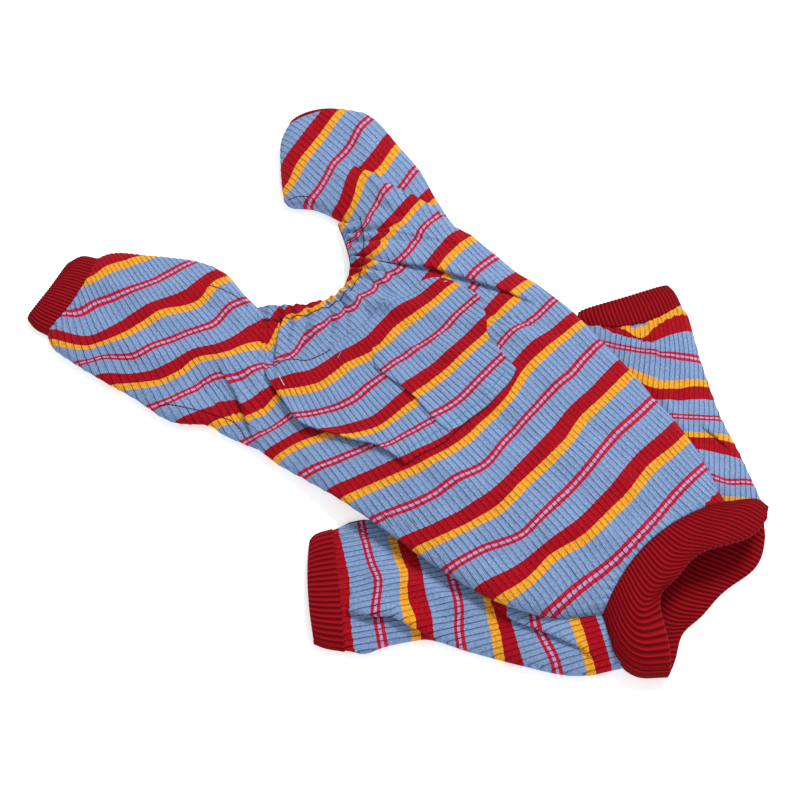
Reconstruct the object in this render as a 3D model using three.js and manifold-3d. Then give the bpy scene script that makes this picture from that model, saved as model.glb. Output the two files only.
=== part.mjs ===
// A dog's jumpsuit of wide-rib striped knit, laid flat: a body tube with two front sleeves,
// two hind legs folded forward under it, ribbed cuffs, a ribbed rear band and a patch pocket.
// Millimetres, +Z up, resting on z = 0. +Y points to the neck, and the origin is under the middle.
import * as THREE from 'three';
import { mergeVertices } from 'three/addons/utils/BufferGeometryUtils.js';
import Module from 'manifold-3d';

const wasm = await Module();
wasm.setup();

// Cloth
const KNIT_WALL = 1.7;
const RIB_WALL = 2.2;
const CASING_WALL = 2.6;
const SEAM_GAP = 0.3;
const LIMB_CLEARANCE = 0.6;
const SEAM_OVERLAP = 2;
const PAST_MOUTH = 6;

// Body tube, from the rear band's seam to the neck
const BODY_LENGTH = 362;
const BODY_WIDTH = 250;
const BODY_HEIGHT = 20;
const CASING_DEPTH = 9;
const BAND_DEPTH = 48;

// Front sleeves, from the armhole to the cuff
const LEFT_SLEEVE_LENGTH = 170;
const RIGHT_SLEEVE_LENGTH = 130;
const SLEEVE_WIDTH = 112;
const SLEEVE_HEIGHT = 14;
const FRONT_CUFF_DEPTH = 26;
const TUCKED_RIM = 3;

// Hind legs, from the rear band to the cuff
const LEFT_LEG_LENGTH = 200;
const RIGHT_LEG_LENGTH = 162;
const LEG_WIDTH = 92;
const LEG_HEIGHT = 14;
const HIND_CUFF_DEPTH = 26;

// Patch pocket, stitched on top of the body
const POCKET_LENGTH = 138;
const POCKET_WIDTH = 168;
const POCKET_WALL = 1.9;
const POCKET_CUT_HEIGHT = 100;

// Where the body's line starts on the floor, at the middle of the rear seam
const BODY_REAR = [-1.5, -226];

// Where the limbs' lines start and the pocket's middle lies: shares of the body's length ahead
// of its rear, and of its width to the right.
const LEFT_SHOULDER = { ahead: 0.885, aside: -0.282 };
const RIGHT_SHOULDER = { ahead: 0.936, aside: 0.42 };
const LEFT_HIP = { ahead: -0.047, aside: -0.232 };
const RIGHT_HIP = { ahead: -0.033, aside: 0.328 };
const POCKET_MIDDLE = { ahead: 0.675, aside: 0.06 };

// Relief of the cloth
const FOLD_HEIGHT = 4;
const GATHER_HEIGHT = 1.6;
const GATHER_COUNT = 15;
const GATHER_REACH = 34;

// How finely the walls are faceted
const BODY_ROUND = { top: 20, under: 6 };
const LIMB_ROUND = { top: 12, under: 5 };
const TORSO_STEPS = 19;
const BAND_STEPS = 4;
const CASING_STEPS = 1;
const CUFF_STEPS = 2;
const TUCKED_PLACES = 3;

// A limb is a laid tube along a heading. Each row is a section across it:
//   at, skew     where its left end lies along the limb, and how far ahead the right end lies
//   left, right  the two folded edges, to each side of the limb's line
//   base, rise   the height of its underside, and of the tube over that
//   bow, under   how far the top and the underside bulge ahead of the two ends
// at, skew, bow and under are shares of the limb's length, left and right of its width,
// base of the height of a hind leg, and rise of the limb's own height. On a cuff, at is a share
// of its depth, and the rest are shares of the sleeve or leg that it ends.
const BODY_ROWS = [
  { at: 0.01, skew: -0.045, left: -0.22, right: 0.29, base: 0.0, rise: 1.45, bow: 0.04, under: 0.0 },
  { at: 0.06, skew: -0.02, left: -0.3, right: 0.345, base: 0.35, rise: 1.35, bow: 0.02, under: 0.0 },
  { at: 0.12, skew: 0.0, left: -0.36, right: 0.38, base: 1.05, rise: 1.1, bow: 0.01, under: 0.0 },
  { at: 0.2, skew: 0.0, left: -0.4, right: 0.41, base: 1.1, rise: 1.0, bow: 0.0, under: 0.0 },
  { at: 0.32, skew: 0.0, left: -0.425, right: 0.455, base: 1.1, rise: 0.95, bow: 0.0, under: 0.0 },
  { at: 0.44, skew: 0.0, left: -0.435, right: 0.49, base: 1.1, rise: 0.95, bow: 0.0, under: 0.0 },
  { at: 0.55, skew: 0.0, left: -0.44, right: 0.515, base: 0.75, rise: 0.9, bow: 0.0, under: 0.0 },
  { at: 0.64, skew: 0.0, left: -0.45, right: 0.525, base: 0.2, rise: 0.9, bow: 0.0, under: 0.0 },
  { at: 0.72, skew: 0.0, left: -0.465, right: 0.54, base: 0.0, rise: 0.88, bow: 0.0, under: 0.0 },
  { at: 0.79, skew: 0.0, left: -0.46, right: 0.545, base: 0.0, rise: 0.86, bow: -0.01, under: -0.01 },
  { at: 0.85, skew: 0.0, left: -0.4, right: 0.52, base: 0.0, rise: 0.84, bow: -0.04, under: -0.04 },
  { at: 0.91, skew: 0.01, left: -0.28, right: 0.46, base: 0.0, rise: 0.8, bow: -0.08, under: -0.08 },
  { at: 0.96, skew: 0.02, left: -0.17, right: 0.38, base: 0.0, rise: 0.76, bow: -0.105, under: -0.105 },
  { at: 1.0, skew: 0.025, left: -0.095, right: 0.305, base: 0.0, rise: 0.72, bow: -0.12, under: -0.12 },
];

const BAND_ROWS = [
  { at: 0.28, skew: -0.35, left: -0.29, right: 0.22, base: 0.0, rise: 1.45, bow: -0.3, under: 0.0 },
  { at: 0.42, skew: 0.0, left: -0.33, right: 0.28, base: 0.0, rise: 1.5, bow: -0.3, under: 0.02 },
  { at: 0.58, skew: 0.24, left: -0.36, right: 0.285, base: 0.0, rise: 1.55, bow: -0.45, under: 0.0 },
  { at: 0.75, skew: 0.42, left: -0.36, right: 0.23, base: 0.0, rise: 1.6, bow: -0.6, under: 0.0 },
];

const LEFT_SLEEVE_ROWS = [
  { at: -0.18, skew: 0.3, left: -0.5, right: 0.45, base: 0.0, rise: 1.0, bow: 0.0, under: 0.0 },
  { at: 0.0, skew: 0.26, left: -0.5, right: 0.53, base: 0.0, rise: 1.0, bow: 0.0, under: 0.0 },
  { at: 0.1, skew: 0.31, left: -0.48, right: 0.64, base: 0.0, rise: 1.0, bow: 0.0, under: 0.0 },
  { at: 0.26, skew: 0.29, left: -0.56, right: 0.65, base: 0.0, rise: 1.0, bow: 0.0, under: 0.0 },
  { at: 0.47, skew: 0.21, left: -0.51, right: 0.6, base: 0.0, rise: 0.95, bow: 0.0, under: 0.0 },
  { at: 0.65, skew: 0.17, left: -0.48, right: 0.53, base: 0.0, rise: 0.9, bow: 0.0, under: 0.0 },
  { at: 0.83, skew: 0.09, left: -0.44, right: 0.48, base: 0.0, rise: 0.86, bow: 0.0, under: 0.0 },
  { at: 0.94, skew: 0.03, left: -0.4, right: 0.43, base: 0.0, rise: 0.8, bow: -0.02, under: -0.02 },
  { at: 1.0, skew: 0.0, left: -0.32, right: 0.37, base: 0.0, rise: 0.76, bow: -0.03, under: -0.03 },
];

const LEFT_SLEEVE_CUFF_ROWS = [
  { at: 0.0, skew: 0.0, left: -0.32, right: 0.37, base: 0.0, rise: 0.76, bow: -0.03, under: -0.03 },
  { at: 0.45, skew: 0.0, left: -0.31, right: 0.34, base: 0.0, rise: 0.76, bow: -0.015, under: -0.015 },
  { at: 0.82, skew: -0.018, left: -0.27, right: 0.25, base: 0.0, rise: 0.72, bow: -0.012, under: -0.012 },
];

const RIGHT_SLEEVE_ROWS = [
  { at: 0.05, skew: -0.5, left: -0.24, right: 0.24, base: 0.0, rise: 0.95, bow: 0.0, under: 0.0 },
  { at: 0.24, skew: -0.5, left: -0.29, right: 0.32, base: 0.0, rise: 1.0, bow: 0.0, under: 0.0 },
  { at: 0.4, skew: -0.46, left: -0.37, right: 0.37, base: 0.0, rise: 1.05, bow: 0.0, under: 0.0 },
  { at: 0.52, skew: -0.35, left: -0.5, right: 0.44, base: 0.0, rise: 1.1, bow: 0.0, under: 0.0 },
  { at: 0.62, skew: -0.22, left: -0.46, right: 0.465, base: 0.0, rise: 1.1, bow: 0.0, under: 0.0 },
  { at: 0.78, skew: -0.16, left: -0.34, right: 0.485, base: 0.0, rise: 1.15, bow: 0.0, under: 0.0 },
  { at: 0.93, skew: -0.18, left: -0.21, right: 0.47, base: 0.0, rise: 1.15, bow: 0.02, under: 0.02 },
  { at: 1.0, skew: -0.15, left: -0.1, right: 0.39, base: 0.0, rise: 1.1, bow: 0.03, under: 0.03 },
];

const LEFT_LEG_ROWS = [
  { at: -0.12, skew: 0.12, left: -0.08, right: 0.6, base: 0.0, rise: 0.9, bow: 0.0, under: 0.0 },
  { at: 0.0, skew: 0.12, left: -0.22, right: 0.62, base: 0.0, rise: 0.95, bow: 0.0, under: 0.0 },
  { at: 0.15, skew: 0.12, left: -0.33, right: 0.64, base: 0.0, rise: 1.0, bow: 0.0, under: 0.0 },
  { at: 0.33, skew: 0.12, left: -0.32, right: 0.66, base: 0.0, rise: 1.0, bow: 0.0, under: 0.0 },
  { at: 0.52, skew: 0.12, left: -0.28, right: 0.66, base: 0.0, rise: 0.95, bow: 0.0, under: 0.0 },
  { at: 0.67, skew: 0.12, left: -0.24, right: 0.66, base: 0.0, rise: 0.95, bow: 0.0, under: 0.0 },
  { at: 0.79, skew: 0.12, left: -0.33, right: 0.66, base: 0.0, rise: 0.95, bow: 0.0, under: 0.0 },
  { at: 0.88, skew: 0.12, left: -0.43, right: 0.63, base: 0.0, rise: 0.9, bow: 0.0, under: 0.0 },
  { at: 0.95, skew: 0.13, left: -0.43, right: 0.52, base: 0.0, rise: 0.85, bow: 0.0, under: 0.0 },
];

const LEFT_LEG_CUFF_ROWS = [
  { at: 0.0, skew: 0.13, left: -0.43, right: 0.52, base: 0.0, rise: 0.85, bow: 0.0, under: 0.0 },
  { at: 0.5, skew: 0.117, left: -0.43, right: 0.46, base: 0.0, rise: 0.83, bow: 0.0, under: 0.0 },
  { at: 0.85, skew: 0.09, left: -0.41, right: 0.4, base: 0.0, rise: 0.8, bow: 0.013, under: 0.013 },
];

const RIGHT_LEG_ROWS = [
  { at: -0.06, skew: -0.09, left: -0.6, right: 0.17, base: 0.0, rise: 0.9, bow: 0.0, under: 0.0 },
  { at: 0.02, skew: -0.1, left: -0.62, right: 0.24, base: 0.0, rise: 0.95, bow: 0.0, under: 0.0 },
  { at: 0.12, skew: -0.1, left: -0.68, right: 0.23, base: 0.0, rise: 1.0, bow: 0.0, under: 0.0 },
  { at: 0.28, skew: -0.06, left: -0.76, right: 0.18, base: 0.0, rise: 1.0, bow: 0.0, under: 0.0 },
  { at: 0.42, skew: -0.02, left: -0.82, right: 0.12, base: 0.0, rise: 1.0, bow: 0.0, under: 0.0 },
  { at: 0.58, skew: 0.0, left: -0.85, right: 0.1, base: 0.0, rise: 0.95, bow: 0.0, under: 0.0 },
  { at: 0.76, skew: 0.02, left: -0.86, right: 0.09, base: 0.0, rise: 0.95, bow: 0.0, under: 0.0 },
  { at: 0.9, skew: 0.06, left: -0.84, right: 0.1, base: 0.0, rise: 0.9, bow: -0.03, under: -0.03 },
  { at: 1.0, skew: 0.04, left: -0.82, right: 0.06, base: 0.0, rise: 0.85, bow: -0.07, under: -0.07 },
];

const RIGHT_LEG_CUFF_ROWS = [
  { at: 0.0, skew: 0.04, left: -0.82, right: 0.06, base: 0.0, rise: 0.85, bow: -0.07, under: -0.07 },
  { at: 0.3, skew: 0.065, left: -0.83, right: 0.04, base: 0.0, rise: 0.83, bow: -0.04, under: -0.04 },
  { at: 0.5, skew: 0.08, left: -0.82, right: 0.0, base: 0.0, rise: 0.8, bow: -0.01, under: -0.01 },
];

// A fold is a ridge on top of a limb from one place to another. Places are shares: along the
// limb's rows from 0 to 1, and across from -1 on the left edge to 1 on the right edge.
//   width, height  shares of the limb's width and of the height of a fold
const BODY_FOLDS = [
  { from: [0.98, 0.5], to: [0.76, 1.0], width: 0.045, height: 1.3 },
  { from: [0.95, -0.05], to: [0.7, 0.2], width: 0.04, height: 0.9 },
  { from: [0.7, 0.2], to: [0.44, 0.6], width: 0.04, height: 1.0 },
  { from: [0.92, -0.4], to: [0.7, -0.7], width: 0.045, height: 0.7 },
  { from: [0.38, 0.55], to: [0.62, 0.95], width: 0.05, height: 0.7 },
  { from: [0.1, -0.2], to: [0.36, -0.5], width: 0.06, height: 0.6 },
  { from: [0.12, 0.3], to: [0.4, 0.15], width: 0.05, height: 0.5 },
];
const LEFT_SLEEVE_FOLDS = [
  { from: [0.25, 0.75], to: [0.7, 0.3], width: 0.07, height: 0.6 },
  { from: [0.2, -0.1], to: [0.6, -0.5], width: 0.08, height: 0.5 },
];
const RIGHT_SLEEVE_FOLDS = [
  { from: [0.25, 0.1], to: [0.75, 0.65], width: 0.07, height: 0.8 },
];
const LEFT_LEG_FOLDS = [
  { from: [0.5, -0.35], to: [0.8, 0.0], width: 0.09, height: 0.8 },
];
const RIGHT_LEG_FOLDS = [
  { from: [0.25, 0.3], to: [0.6, 0.1], width: 0.08, height: 0.6 },
];

// Outline of the pocket: across and along its middle, as shares of its width and length
const POCKET_OUTLINE = [
  { across: -0.48, along: 0.5 },
  { across: -0.31, along: 0.38 },
  { across: -0.1, along: 0.32 },
  { across: 0.2, along: 0.26 },
  { across: 0.36, along: 0.22 },
  { across: 0.5, along: -0.1 },
  { across: 0.42, along: -0.22 },
  { across: 0.28, along: -0.47 },
  { across: 0.02, along: -0.53 },
  { across: -0.22, along: -0.54 },
  { across: -0.45, along: -0.48 },
  { across: -0.51, along: -0.2 },
  { across: -0.55, along: 0.0 },
  { across: -0.54, along: 0.2 },
];

const BLUE = new THREE.MeshStandardMaterial({ color: 0x7d9cc9, roughness: 0.92, metalness: 0 });
const RED = new THREE.MeshStandardMaterial({ color: 0x8f1020, roughness: 0.9, metalness: 0 });

const mix = (a, b, t) => a + (b - a) * t;

// A value of the row table at any place: on a smooth curve through the rows between them,
// and straight on beyond the first and the last.
function smoothAt(values, place) {
  const last = values.length - 1;
  const inside = THREE.MathUtils.clamp(place, 0, last);
  const k = Math.min(Math.floor(inside), last - 1);
  const [p1, p2] = [values[k], values[k + 1]];
  const slope1 = k > 0 ? (p2 - values[k - 1]) / 2 : p2 - p1;
  const slope2 = k < last - 1 ? (values[k + 2] - p1) / 2 : p2 - p1;
  const t = inside - k;
  const t2 = t * t;
  const t3 = t2 * t;
  const value = (2 * t3 - 3 * t2 + 1) * p1 + (t3 - 2 * t2 + t) * slope1
    + (3 * t2 - 2 * t3) * p2 + (t3 - t2) * slope2;
  return value + (place - inside) * (p2 - p1);
}

// A limb in millimetres: its rows, its line and its folds. Its rows reach over its own length,
// or over the depth of a cuff.
function limb(sizes) {
  const { rows, length, width, height, root, heading } = sizes;
  const { reach = length, folds = [], gathers = 0 } = sizes;
  const angle = THREE.MathUtils.degToRad(heading);
  const line = new THREE.Vector2(Math.cos(angle), Math.sin(angle));
  const side = new THREE.Vector2(Math.sin(angle), -Math.cos(angle));
  const column = (name, unit) => rows.map((row) => row[name] * unit);
  const columns = {
    at: column('at', reach),
    skew: column('skew', length),
    left: column('left', width),
    right: column('right', width),
    base: column('base', LEG_HEIGHT),
    rise: column('rise', height),
    bow: column('bow', length),
    under: column('under', length),
  };
  return { columns, line, side, root, width, folds, gathers, last: rows.length - 1 };
}

function sectionAt(made, place) {
  const section = {};
  for (const name of Object.keys(made.columns)) {
    section[name] = smoothAt(made.columns[name], place);
  }
  return section;
}

// Height that the folds and gathers add at a place on the top of a limb.
function relief(made, share, across) {
  let height = 0;
  for (const fold of made.folds) {
    const length = made.columns.at[made.last] - made.columns.at[0];
    const from = new THREE.Vector2(fold.from[1] * made.width / 2, fold.from[0] * length);
    const to = new THREE.Vector2(fold.to[1] * made.width / 2, fold.to[0] * length);
    const here = new THREE.Vector2(across * made.width / 2, share * length);
    const span = to.clone().sub(from);
    const along = here.clone().sub(from).dot(span) / span.lengthSq();
    const nearest = from.clone().addScaledVector(span, THREE.MathUtils.clamp(along, 0, 1));
    const away = here.distanceTo(nearest) / (fold.width * made.width);
    height += fold.height * FOLD_HEIGHT * Math.exp(-away * away);
  }
  if (made.gathers) {
    const back = (1 - share) * (made.columns.at[made.last] - made.columns.at[0]);
    const fade = Math.exp(-((back / GATHER_REACH) ** 2));
    height += made.gathers * GATHER_HEIGHT * fade * Math.cos(GATHER_COUNT * Math.PI * across);
  }
  return height;
}

// How the two folded edges and the flat underside are rounded
const EDGE_SHARE = 0.34;
const EDGE_ROUNDNESS = 0.8;
const TOP_ROUNDNESS = 0.75;
const UNDER_FLATNESS = 0.35;
const UNDER_REACH = 1.12;

// One point of the ring round a section. Grow moves the surface out, or in where it is negative.
function ringPoint(made, place, turn, grow) {
  const s = sectionAt(made, place);
  const cosine = Math.cos(turn);
  const sine = Math.sin(turn);
  const across = -Math.sign(cosine) * Math.abs(cosine) ** EDGE_ROUNDNESS;
  const share = place / made.last;
  const base = Math.max(0, s.base);
  const edge = base + s.rise * EDGE_SHARE;
  const half = (s.right - s.left) / 2 + grow;
  const lateral = (s.left + s.right) / 2 + across * half;
  const bulge = 1 - across * across;
  let z;
  let ahead;
  if (sine >= 0) {
    const lift = Math.abs(sine) ** TOP_ROUNDNESS;
    const top = s.rise * (1 - EDGE_SHARE) + relief(made, share, across) * bulge + grow;
    z = edge + top * lift;
    ahead = s.bow * bulge;
  } else {
    const drop = Math.min(1, UNDER_REACH * Math.abs(sine) ** UNDER_FLATNESS);
    z = edge - (s.rise * EDGE_SHARE + grow) * drop;
    ahead = s.under * bulge;
  }
  const along = s.at + s.skew * (across + 1) / 2 + ahead;
  return [
    made.root[0] + made.line.x * along + made.side.x * lateral,
    made.root[1] + made.line.y * along + made.side.y * lateral,
    z,
  ];
}

// Evenly spaced places along a limb
function places(from, to, steps) {
  return Array.from({ length: steps + 1 }, (_, i) => mix(from, to, i / steps));
}

// The turns of a ring: over the top from the left edge to the right, and back underneath.
function turns({ top, under }) {
  return [
    ...Array.from({ length: top }, (_, j) => (j / top) * Math.PI),
    ...Array.from({ length: under }, (_, j) => (1 + j / under) * Math.PI),
  ];
}

// Triangles that close an end, between the top of its ring and the underside.
function closing({ top, under }) {
  const strips = [];
  let upper = 0;
  let lower = 0;
  const below = (j) => (top + under - j) % (top + under);
  while (upper < top || lower < under) {
    const goesAlongTop = lower === under || (upper < top && (upper + 1) / top <= (lower + 1) / under);
    const next = goesAlongTop ? upper + 1 : below(lower + 1);
    const strip = [upper, next, below(lower)];
    if (new Set(strip).size === 3) strips.push(strip);
    if (goesAlongTop) upper += 1;
    else lower += 1;
  }
  return strips;
}

// A closed body round a limb, with a ring at each of the places, as a solid.
function body(made, at, grow, round = BODY_ROUND) {
  const ring = turns(round);
  const points = at.flatMap((place) => ring.flatMap((turn) => ringPoint(made, place, turn, grow)));
  const index = (i, j) => i * ring.length + (j % ring.length);
  const faces = [];
  for (let i = 0; i < at.length - 1; i += 1) {
    for (let j = 0; j < ring.length; j += 1) {
      faces.push(index(i, j), index(i, j + 1), index(i + 1, j + 1));
      faces.push(index(i, j), index(i + 1, j + 1), index(i + 1, j));
    }
  }
  for (const [a, b, c] of closing(round)) {
    faces.push(index(0, b), index(0, a), index(0, c));
    faces.push(index(at.length - 1, a), index(at.length - 1, b), index(at.length - 1, c));
  }
  return solid(points, faces);
}

function solid(points, faces) {
  const geometry = new THREE.BufferGeometry();
  geometry.setAttribute('position', new THREE.Float32BufferAttribute(points, 3));
  geometry.setIndex(faces);
  return fromGeometry(geometry);
}

function fromGeometry(geometry) {
  geometry.deleteAttribute('normal');
  geometry.deleteAttribute('uv');
  const merged = mergeVertices(geometry, 1e-4);
  return new wasm.Manifold(new wasm.Mesh({
    numProp: 3,
    vertProperties: merged.attributes.position.array,
    triVerts: new Uint32Array(merged.index.array),
  }));
}

// The largest body of a cut, which leaves its slivers behind.
function largest(cut) {
  const bodies = cut.decompose();
  return bodies.reduce((a, b) => (b.volume() > a.volume() ? b : a));
}

// How far a distance in millimetres is in rows, at one end of a limb
function rowsOver(made, distance, end) {
  const at = made.columns.at;
  const first = end === 0 ? 0 : made.last - 1;
  return distance / Math.abs(at[first + 1] - at[first]);
}

// The cloth wall of a limb between its first and last places, open at both ends.
function wall(made, at, thickness, round = BODY_ROUND) {
  const before = at[0] - rowsOver(made, PAST_MOUTH, 0);
  const after = at[at.length - 1] + rowsOver(made, PAST_MOUTH, 1);
  return body(made, at, 0, round).subtract(body(made, [before, ...at, after], -thickness, round));
}

// The space that a limb takes up, with the clearance that the limbs beside it keep.
function clearance(made, at) {
  const before = at[0] - rowsOver(made, SEAM_OVERLAP, 0);
  const after = at[at.length - 1] + rowsOver(made, SEAM_OVERLAP, 1);
  return body(made, [before, ...at, after], LIMB_CLEARANCE);
}

// A cuff turned back inside the end of a limb, with only its rim outside.
function tucked(made, at) {
  const rim = made.last + rowsOver(made, TUCKED_RIM, 1);
  const inside = [...at.slice(-TUCKED_PLACES), rim];
  const outer = body(made, inside, -KNIT_WALL - SEAM_GAP, LIMB_ROUND);
  const before = inside[0] - rowsOver(made, PAST_MOUTH, 1);
  const after = rim + rowsOver(made, PAST_MOUTH, 1);
  const grow = -KNIT_WALL - SEAM_GAP - RIB_WALL;
  return outer.subtract(body(made, [before, ...inside, after], grow, LIMB_ROUND));
}

function mesh(name, made, material) {
  const { vertProperties, triVerts } = made.getMesh();
  const geometry = new THREE.BufferGeometry();
  geometry.setAttribute('position', new THREE.BufferAttribute(new Float32Array(vertProperties), 3));
  geometry.setIndex(new THREE.BufferAttribute(new Uint32Array(triVerts), 1));
  geometry.computeVertexNormals();
  const piece = new THREE.Mesh(geometry, material);
  piece.name = name;
  return piece;
}

// The place on a limb that lies a distance in millimetres before its end
const beforeEnd = (made, distance) => made.last - rowsOver(made, distance, 1);

// A point on the floor at a distance along a heading from another, and to its right.
function step(from, heading, ahead, aside = 0) {
  const angle = THREE.MathUtils.degToRad(heading);
  return [
    from[0] + Math.cos(angle) * ahead + Math.sin(angle) * aside,
    from[1] + Math.sin(angle) * ahead - Math.cos(angle) * aside,
  ];
}

// The same, from a place given in shares of the body
const onBody = ({ ahead, aside }) => step(BODY_REAR, 90, ahead * BODY_LENGTH, aside * BODY_WIDTH);

const torso = limb({
  rows: BODY_ROWS, length: BODY_LENGTH, width: BODY_WIDTH, height: BODY_HEIGHT,
  root: BODY_REAR, heading: 90, folds: BODY_FOLDS, gathers: 1,
});
const band = limb({
  rows: BAND_ROWS, length: BAND_DEPTH, width: BODY_WIDTH, height: BODY_HEIGHT,
  root: step(BODY_REAR, 90, -SEAM_GAP), heading: 270,
});

const LIMBS = [
  {
    name: 'front_left_sleeve', rows: LEFT_SLEEVE_ROWS, length: LEFT_SLEEVE_LENGTH,
    width: SLEEVE_WIDTH, height: SLEEVE_HEIGHT, root: onBody(LEFT_SHOULDER), heading: 106,
    folds: LEFT_SLEEVE_FOLDS, steps: 11,
    cuff: { name: 'front_left_cuff', rows: LEFT_SLEEVE_CUFF_ROWS, depth: FRONT_CUFF_DEPTH },
  },
  {
    name: 'front_right_sleeve', rows: RIGHT_SLEEVE_ROWS, length: RIGHT_SLEEVE_LENGTH,
    width: SLEEVE_WIDTH, height: SLEEVE_HEIGHT, root: onBody(RIGHT_SHOULDER), heading: 80,
    folds: RIGHT_SLEEVE_FOLDS, steps: 9,
    tuckedCuff: 'front_right_cuff',
  },
  {
    name: 'hind_left_leg', rows: LEFT_LEG_ROWS, length: LEFT_LEG_LENGTH,
    width: LEG_WIDTH, height: LEG_HEIGHT, root: onBody(LEFT_HIP), heading: 121,
    folds: LEFT_LEG_FOLDS, steps: 12,
    cuff: { name: 'hind_left_cuff', rows: LEFT_LEG_CUFF_ROWS, depth: HIND_CUFF_DEPTH },
  },
  {
    name: 'hind_right_leg', rows: RIGHT_LEG_ROWS, length: RIGHT_LEG_LENGTH,
    width: LEG_WIDTH, height: LEG_HEIGHT, root: onBody(RIGHT_HIP), heading: 50,
    folds: RIGHT_LEG_FOLDS, steps: 9,
    cuff: { name: 'hind_right_cuff', rows: RIGHT_LEG_CUFF_ROWS, depth: HIND_CUFF_DEPTH },
  },
];

const torsoPlaces = places(0, beforeEnd(torso, CASING_DEPTH + SEAM_GAP), TORSO_STEPS);
const casingPlaces = places(beforeEnd(torso, CASING_DEPTH), torso.last, CASING_STEPS);
const bandPlaces = places(0, band.last, BAND_STEPS);
const clearOfBody = clearance(torso, [...torsoPlaces, ...casingPlaces])
  .add(clearance(band, bandPlaces));

let torsoWall = wall(torso, torsoPlaces, KNIT_WALL);
let casingWall = wall(torso, casingPlaces, CASING_WALL);
const bandWall = wall(band, bandPlaces, RIB_WALL);

const group = new THREE.Group();
for (const { name, steps, cuff, tuckedCuff, ...sizes } of LIMBS) {
  const made = limb(sizes);
  const at = places(0, made.last, steps);
  const hollow = body(made, at, -KNIT_WALL - SEAM_GAP, LIMB_ROUND);
  torsoWall = torsoWall.subtract(hollow);
  casingWall = casingWall.subtract(hollow);
  const tube = wall(made, at, KNIT_WALL, LIMB_ROUND).subtract(clearOfBody);
  group.add(mesh(name, largest(tube), BLUE));
  if (cuff) {
    const rib = limb({
      ...sizes, rows: cuff.rows, reach: cuff.depth, folds: [],
      root: step(sizes.root, sizes.heading, made.columns.at[made.last] + SEAM_GAP),
    });
    const cuffWall = wall(rib, places(0, rib.last, CUFF_STEPS), RIB_WALL, LIMB_ROUND);
    group.add(mesh(cuff.name, cuffWall, RED));
  }
  if (tuckedCuff) group.add(mesh(tuckedCuff, tucked(made, at), RED));
}

group.add(mesh('torso', largest(torsoWall), BLUE));
group.add(mesh('neck_casing', largest(casingWall), BLUE));
group.add(mesh('rear_band', bandWall, RED));

// The pocket is a skin over the body, cut to its outline.
const pocketMiddle = new THREE.Vector2(...onBody(POCKET_MIDDLE));
const outline = new THREE.Shape(POCKET_OUTLINE.map(({ across, along }) => new THREE.Vector2(
  across * POCKET_WIDTH, along * POCKET_LENGTH,
).add(pocketMiddle)));
const prism = new THREE.ExtrudeGeometry(outline, { depth: POCKET_CUT_HEIGHT, bevelEnabled: false });
prism.translate(0, 0, LEG_HEIGHT);
const cutter = fromGeometry(prism);
const pocketSkin = body(torso, torsoPlaces, SEAM_GAP + POCKET_WALL)
  .subtract(body(torso, torsoPlaces, SEAM_GAP));
group.add(mesh('pocket', largest(pocketSkin.intersect(cutter)), BLUE));

export default group;
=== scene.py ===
"""A dog's jumpsuit of wide-rib striped knit, laid flat on a white floor.

Lengths in the tables are millimetres or shares of the named sizes, in the frame of the part:
+Z up, +Y to the neck, resting on z = 0. The meshes are made in metres.
"""

import bpy
import numpy as np
from mathutils import Matrix, Vector, noise
from mathutils.bvhtree import BVHTree


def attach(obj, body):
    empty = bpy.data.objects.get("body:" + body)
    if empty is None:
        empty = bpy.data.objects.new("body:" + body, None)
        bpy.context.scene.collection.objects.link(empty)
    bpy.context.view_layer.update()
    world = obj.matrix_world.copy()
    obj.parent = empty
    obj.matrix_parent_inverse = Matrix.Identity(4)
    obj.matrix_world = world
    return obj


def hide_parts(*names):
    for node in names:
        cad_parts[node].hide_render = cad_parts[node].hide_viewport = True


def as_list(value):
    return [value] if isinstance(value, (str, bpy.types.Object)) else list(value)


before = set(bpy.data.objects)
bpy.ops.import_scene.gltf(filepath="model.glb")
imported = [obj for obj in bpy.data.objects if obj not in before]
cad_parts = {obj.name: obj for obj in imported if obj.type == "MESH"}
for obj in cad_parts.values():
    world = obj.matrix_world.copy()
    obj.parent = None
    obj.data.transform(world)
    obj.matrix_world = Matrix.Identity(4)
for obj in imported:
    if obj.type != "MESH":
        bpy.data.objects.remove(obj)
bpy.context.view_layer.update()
scene = bpy.context.scene

# Cloth
KNIT_WALL = 1.7
RIB_WALL = 2.2
CASING_WALL = 2.6
POCKET_WALL = 1.9
SEAM_GAP = 0.3

# The garment's own sizes
BODY_LENGTH = 362
BODY_WIDTH = 250
BODY_HEIGHT = 20
CASING_DEPTH = 9
BAND_DEPTH = 48
LEFT_SLEEVE_LENGTH = 170
RIGHT_SLEEVE_LENGTH = 130
SLEEVE_WIDTH = 112
SLEEVE_HEIGHT = 14
FRONT_CUFF_DEPTH = 26
TUCKED_RIM = 3
LEFT_LEG_LENGTH = 200
RIGHT_LEG_LENGTH = 162
LEG_WIDTH = 92
LEG_HEIGHT = 14
HIND_CUFF_DEPTH = 26

# Where the body's line starts, and the limbs' lines: shares of the body ahead and to the right
BODY_REAR = (-1.5, -226)
LEFT_SHOULDER = (0.885, -0.282)
RIGHT_SHOULDER = (0.936, 0.42)
LEFT_HIP = (-0.047, -0.232)
RIGHT_HIP = (-0.033, 0.328)

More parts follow.
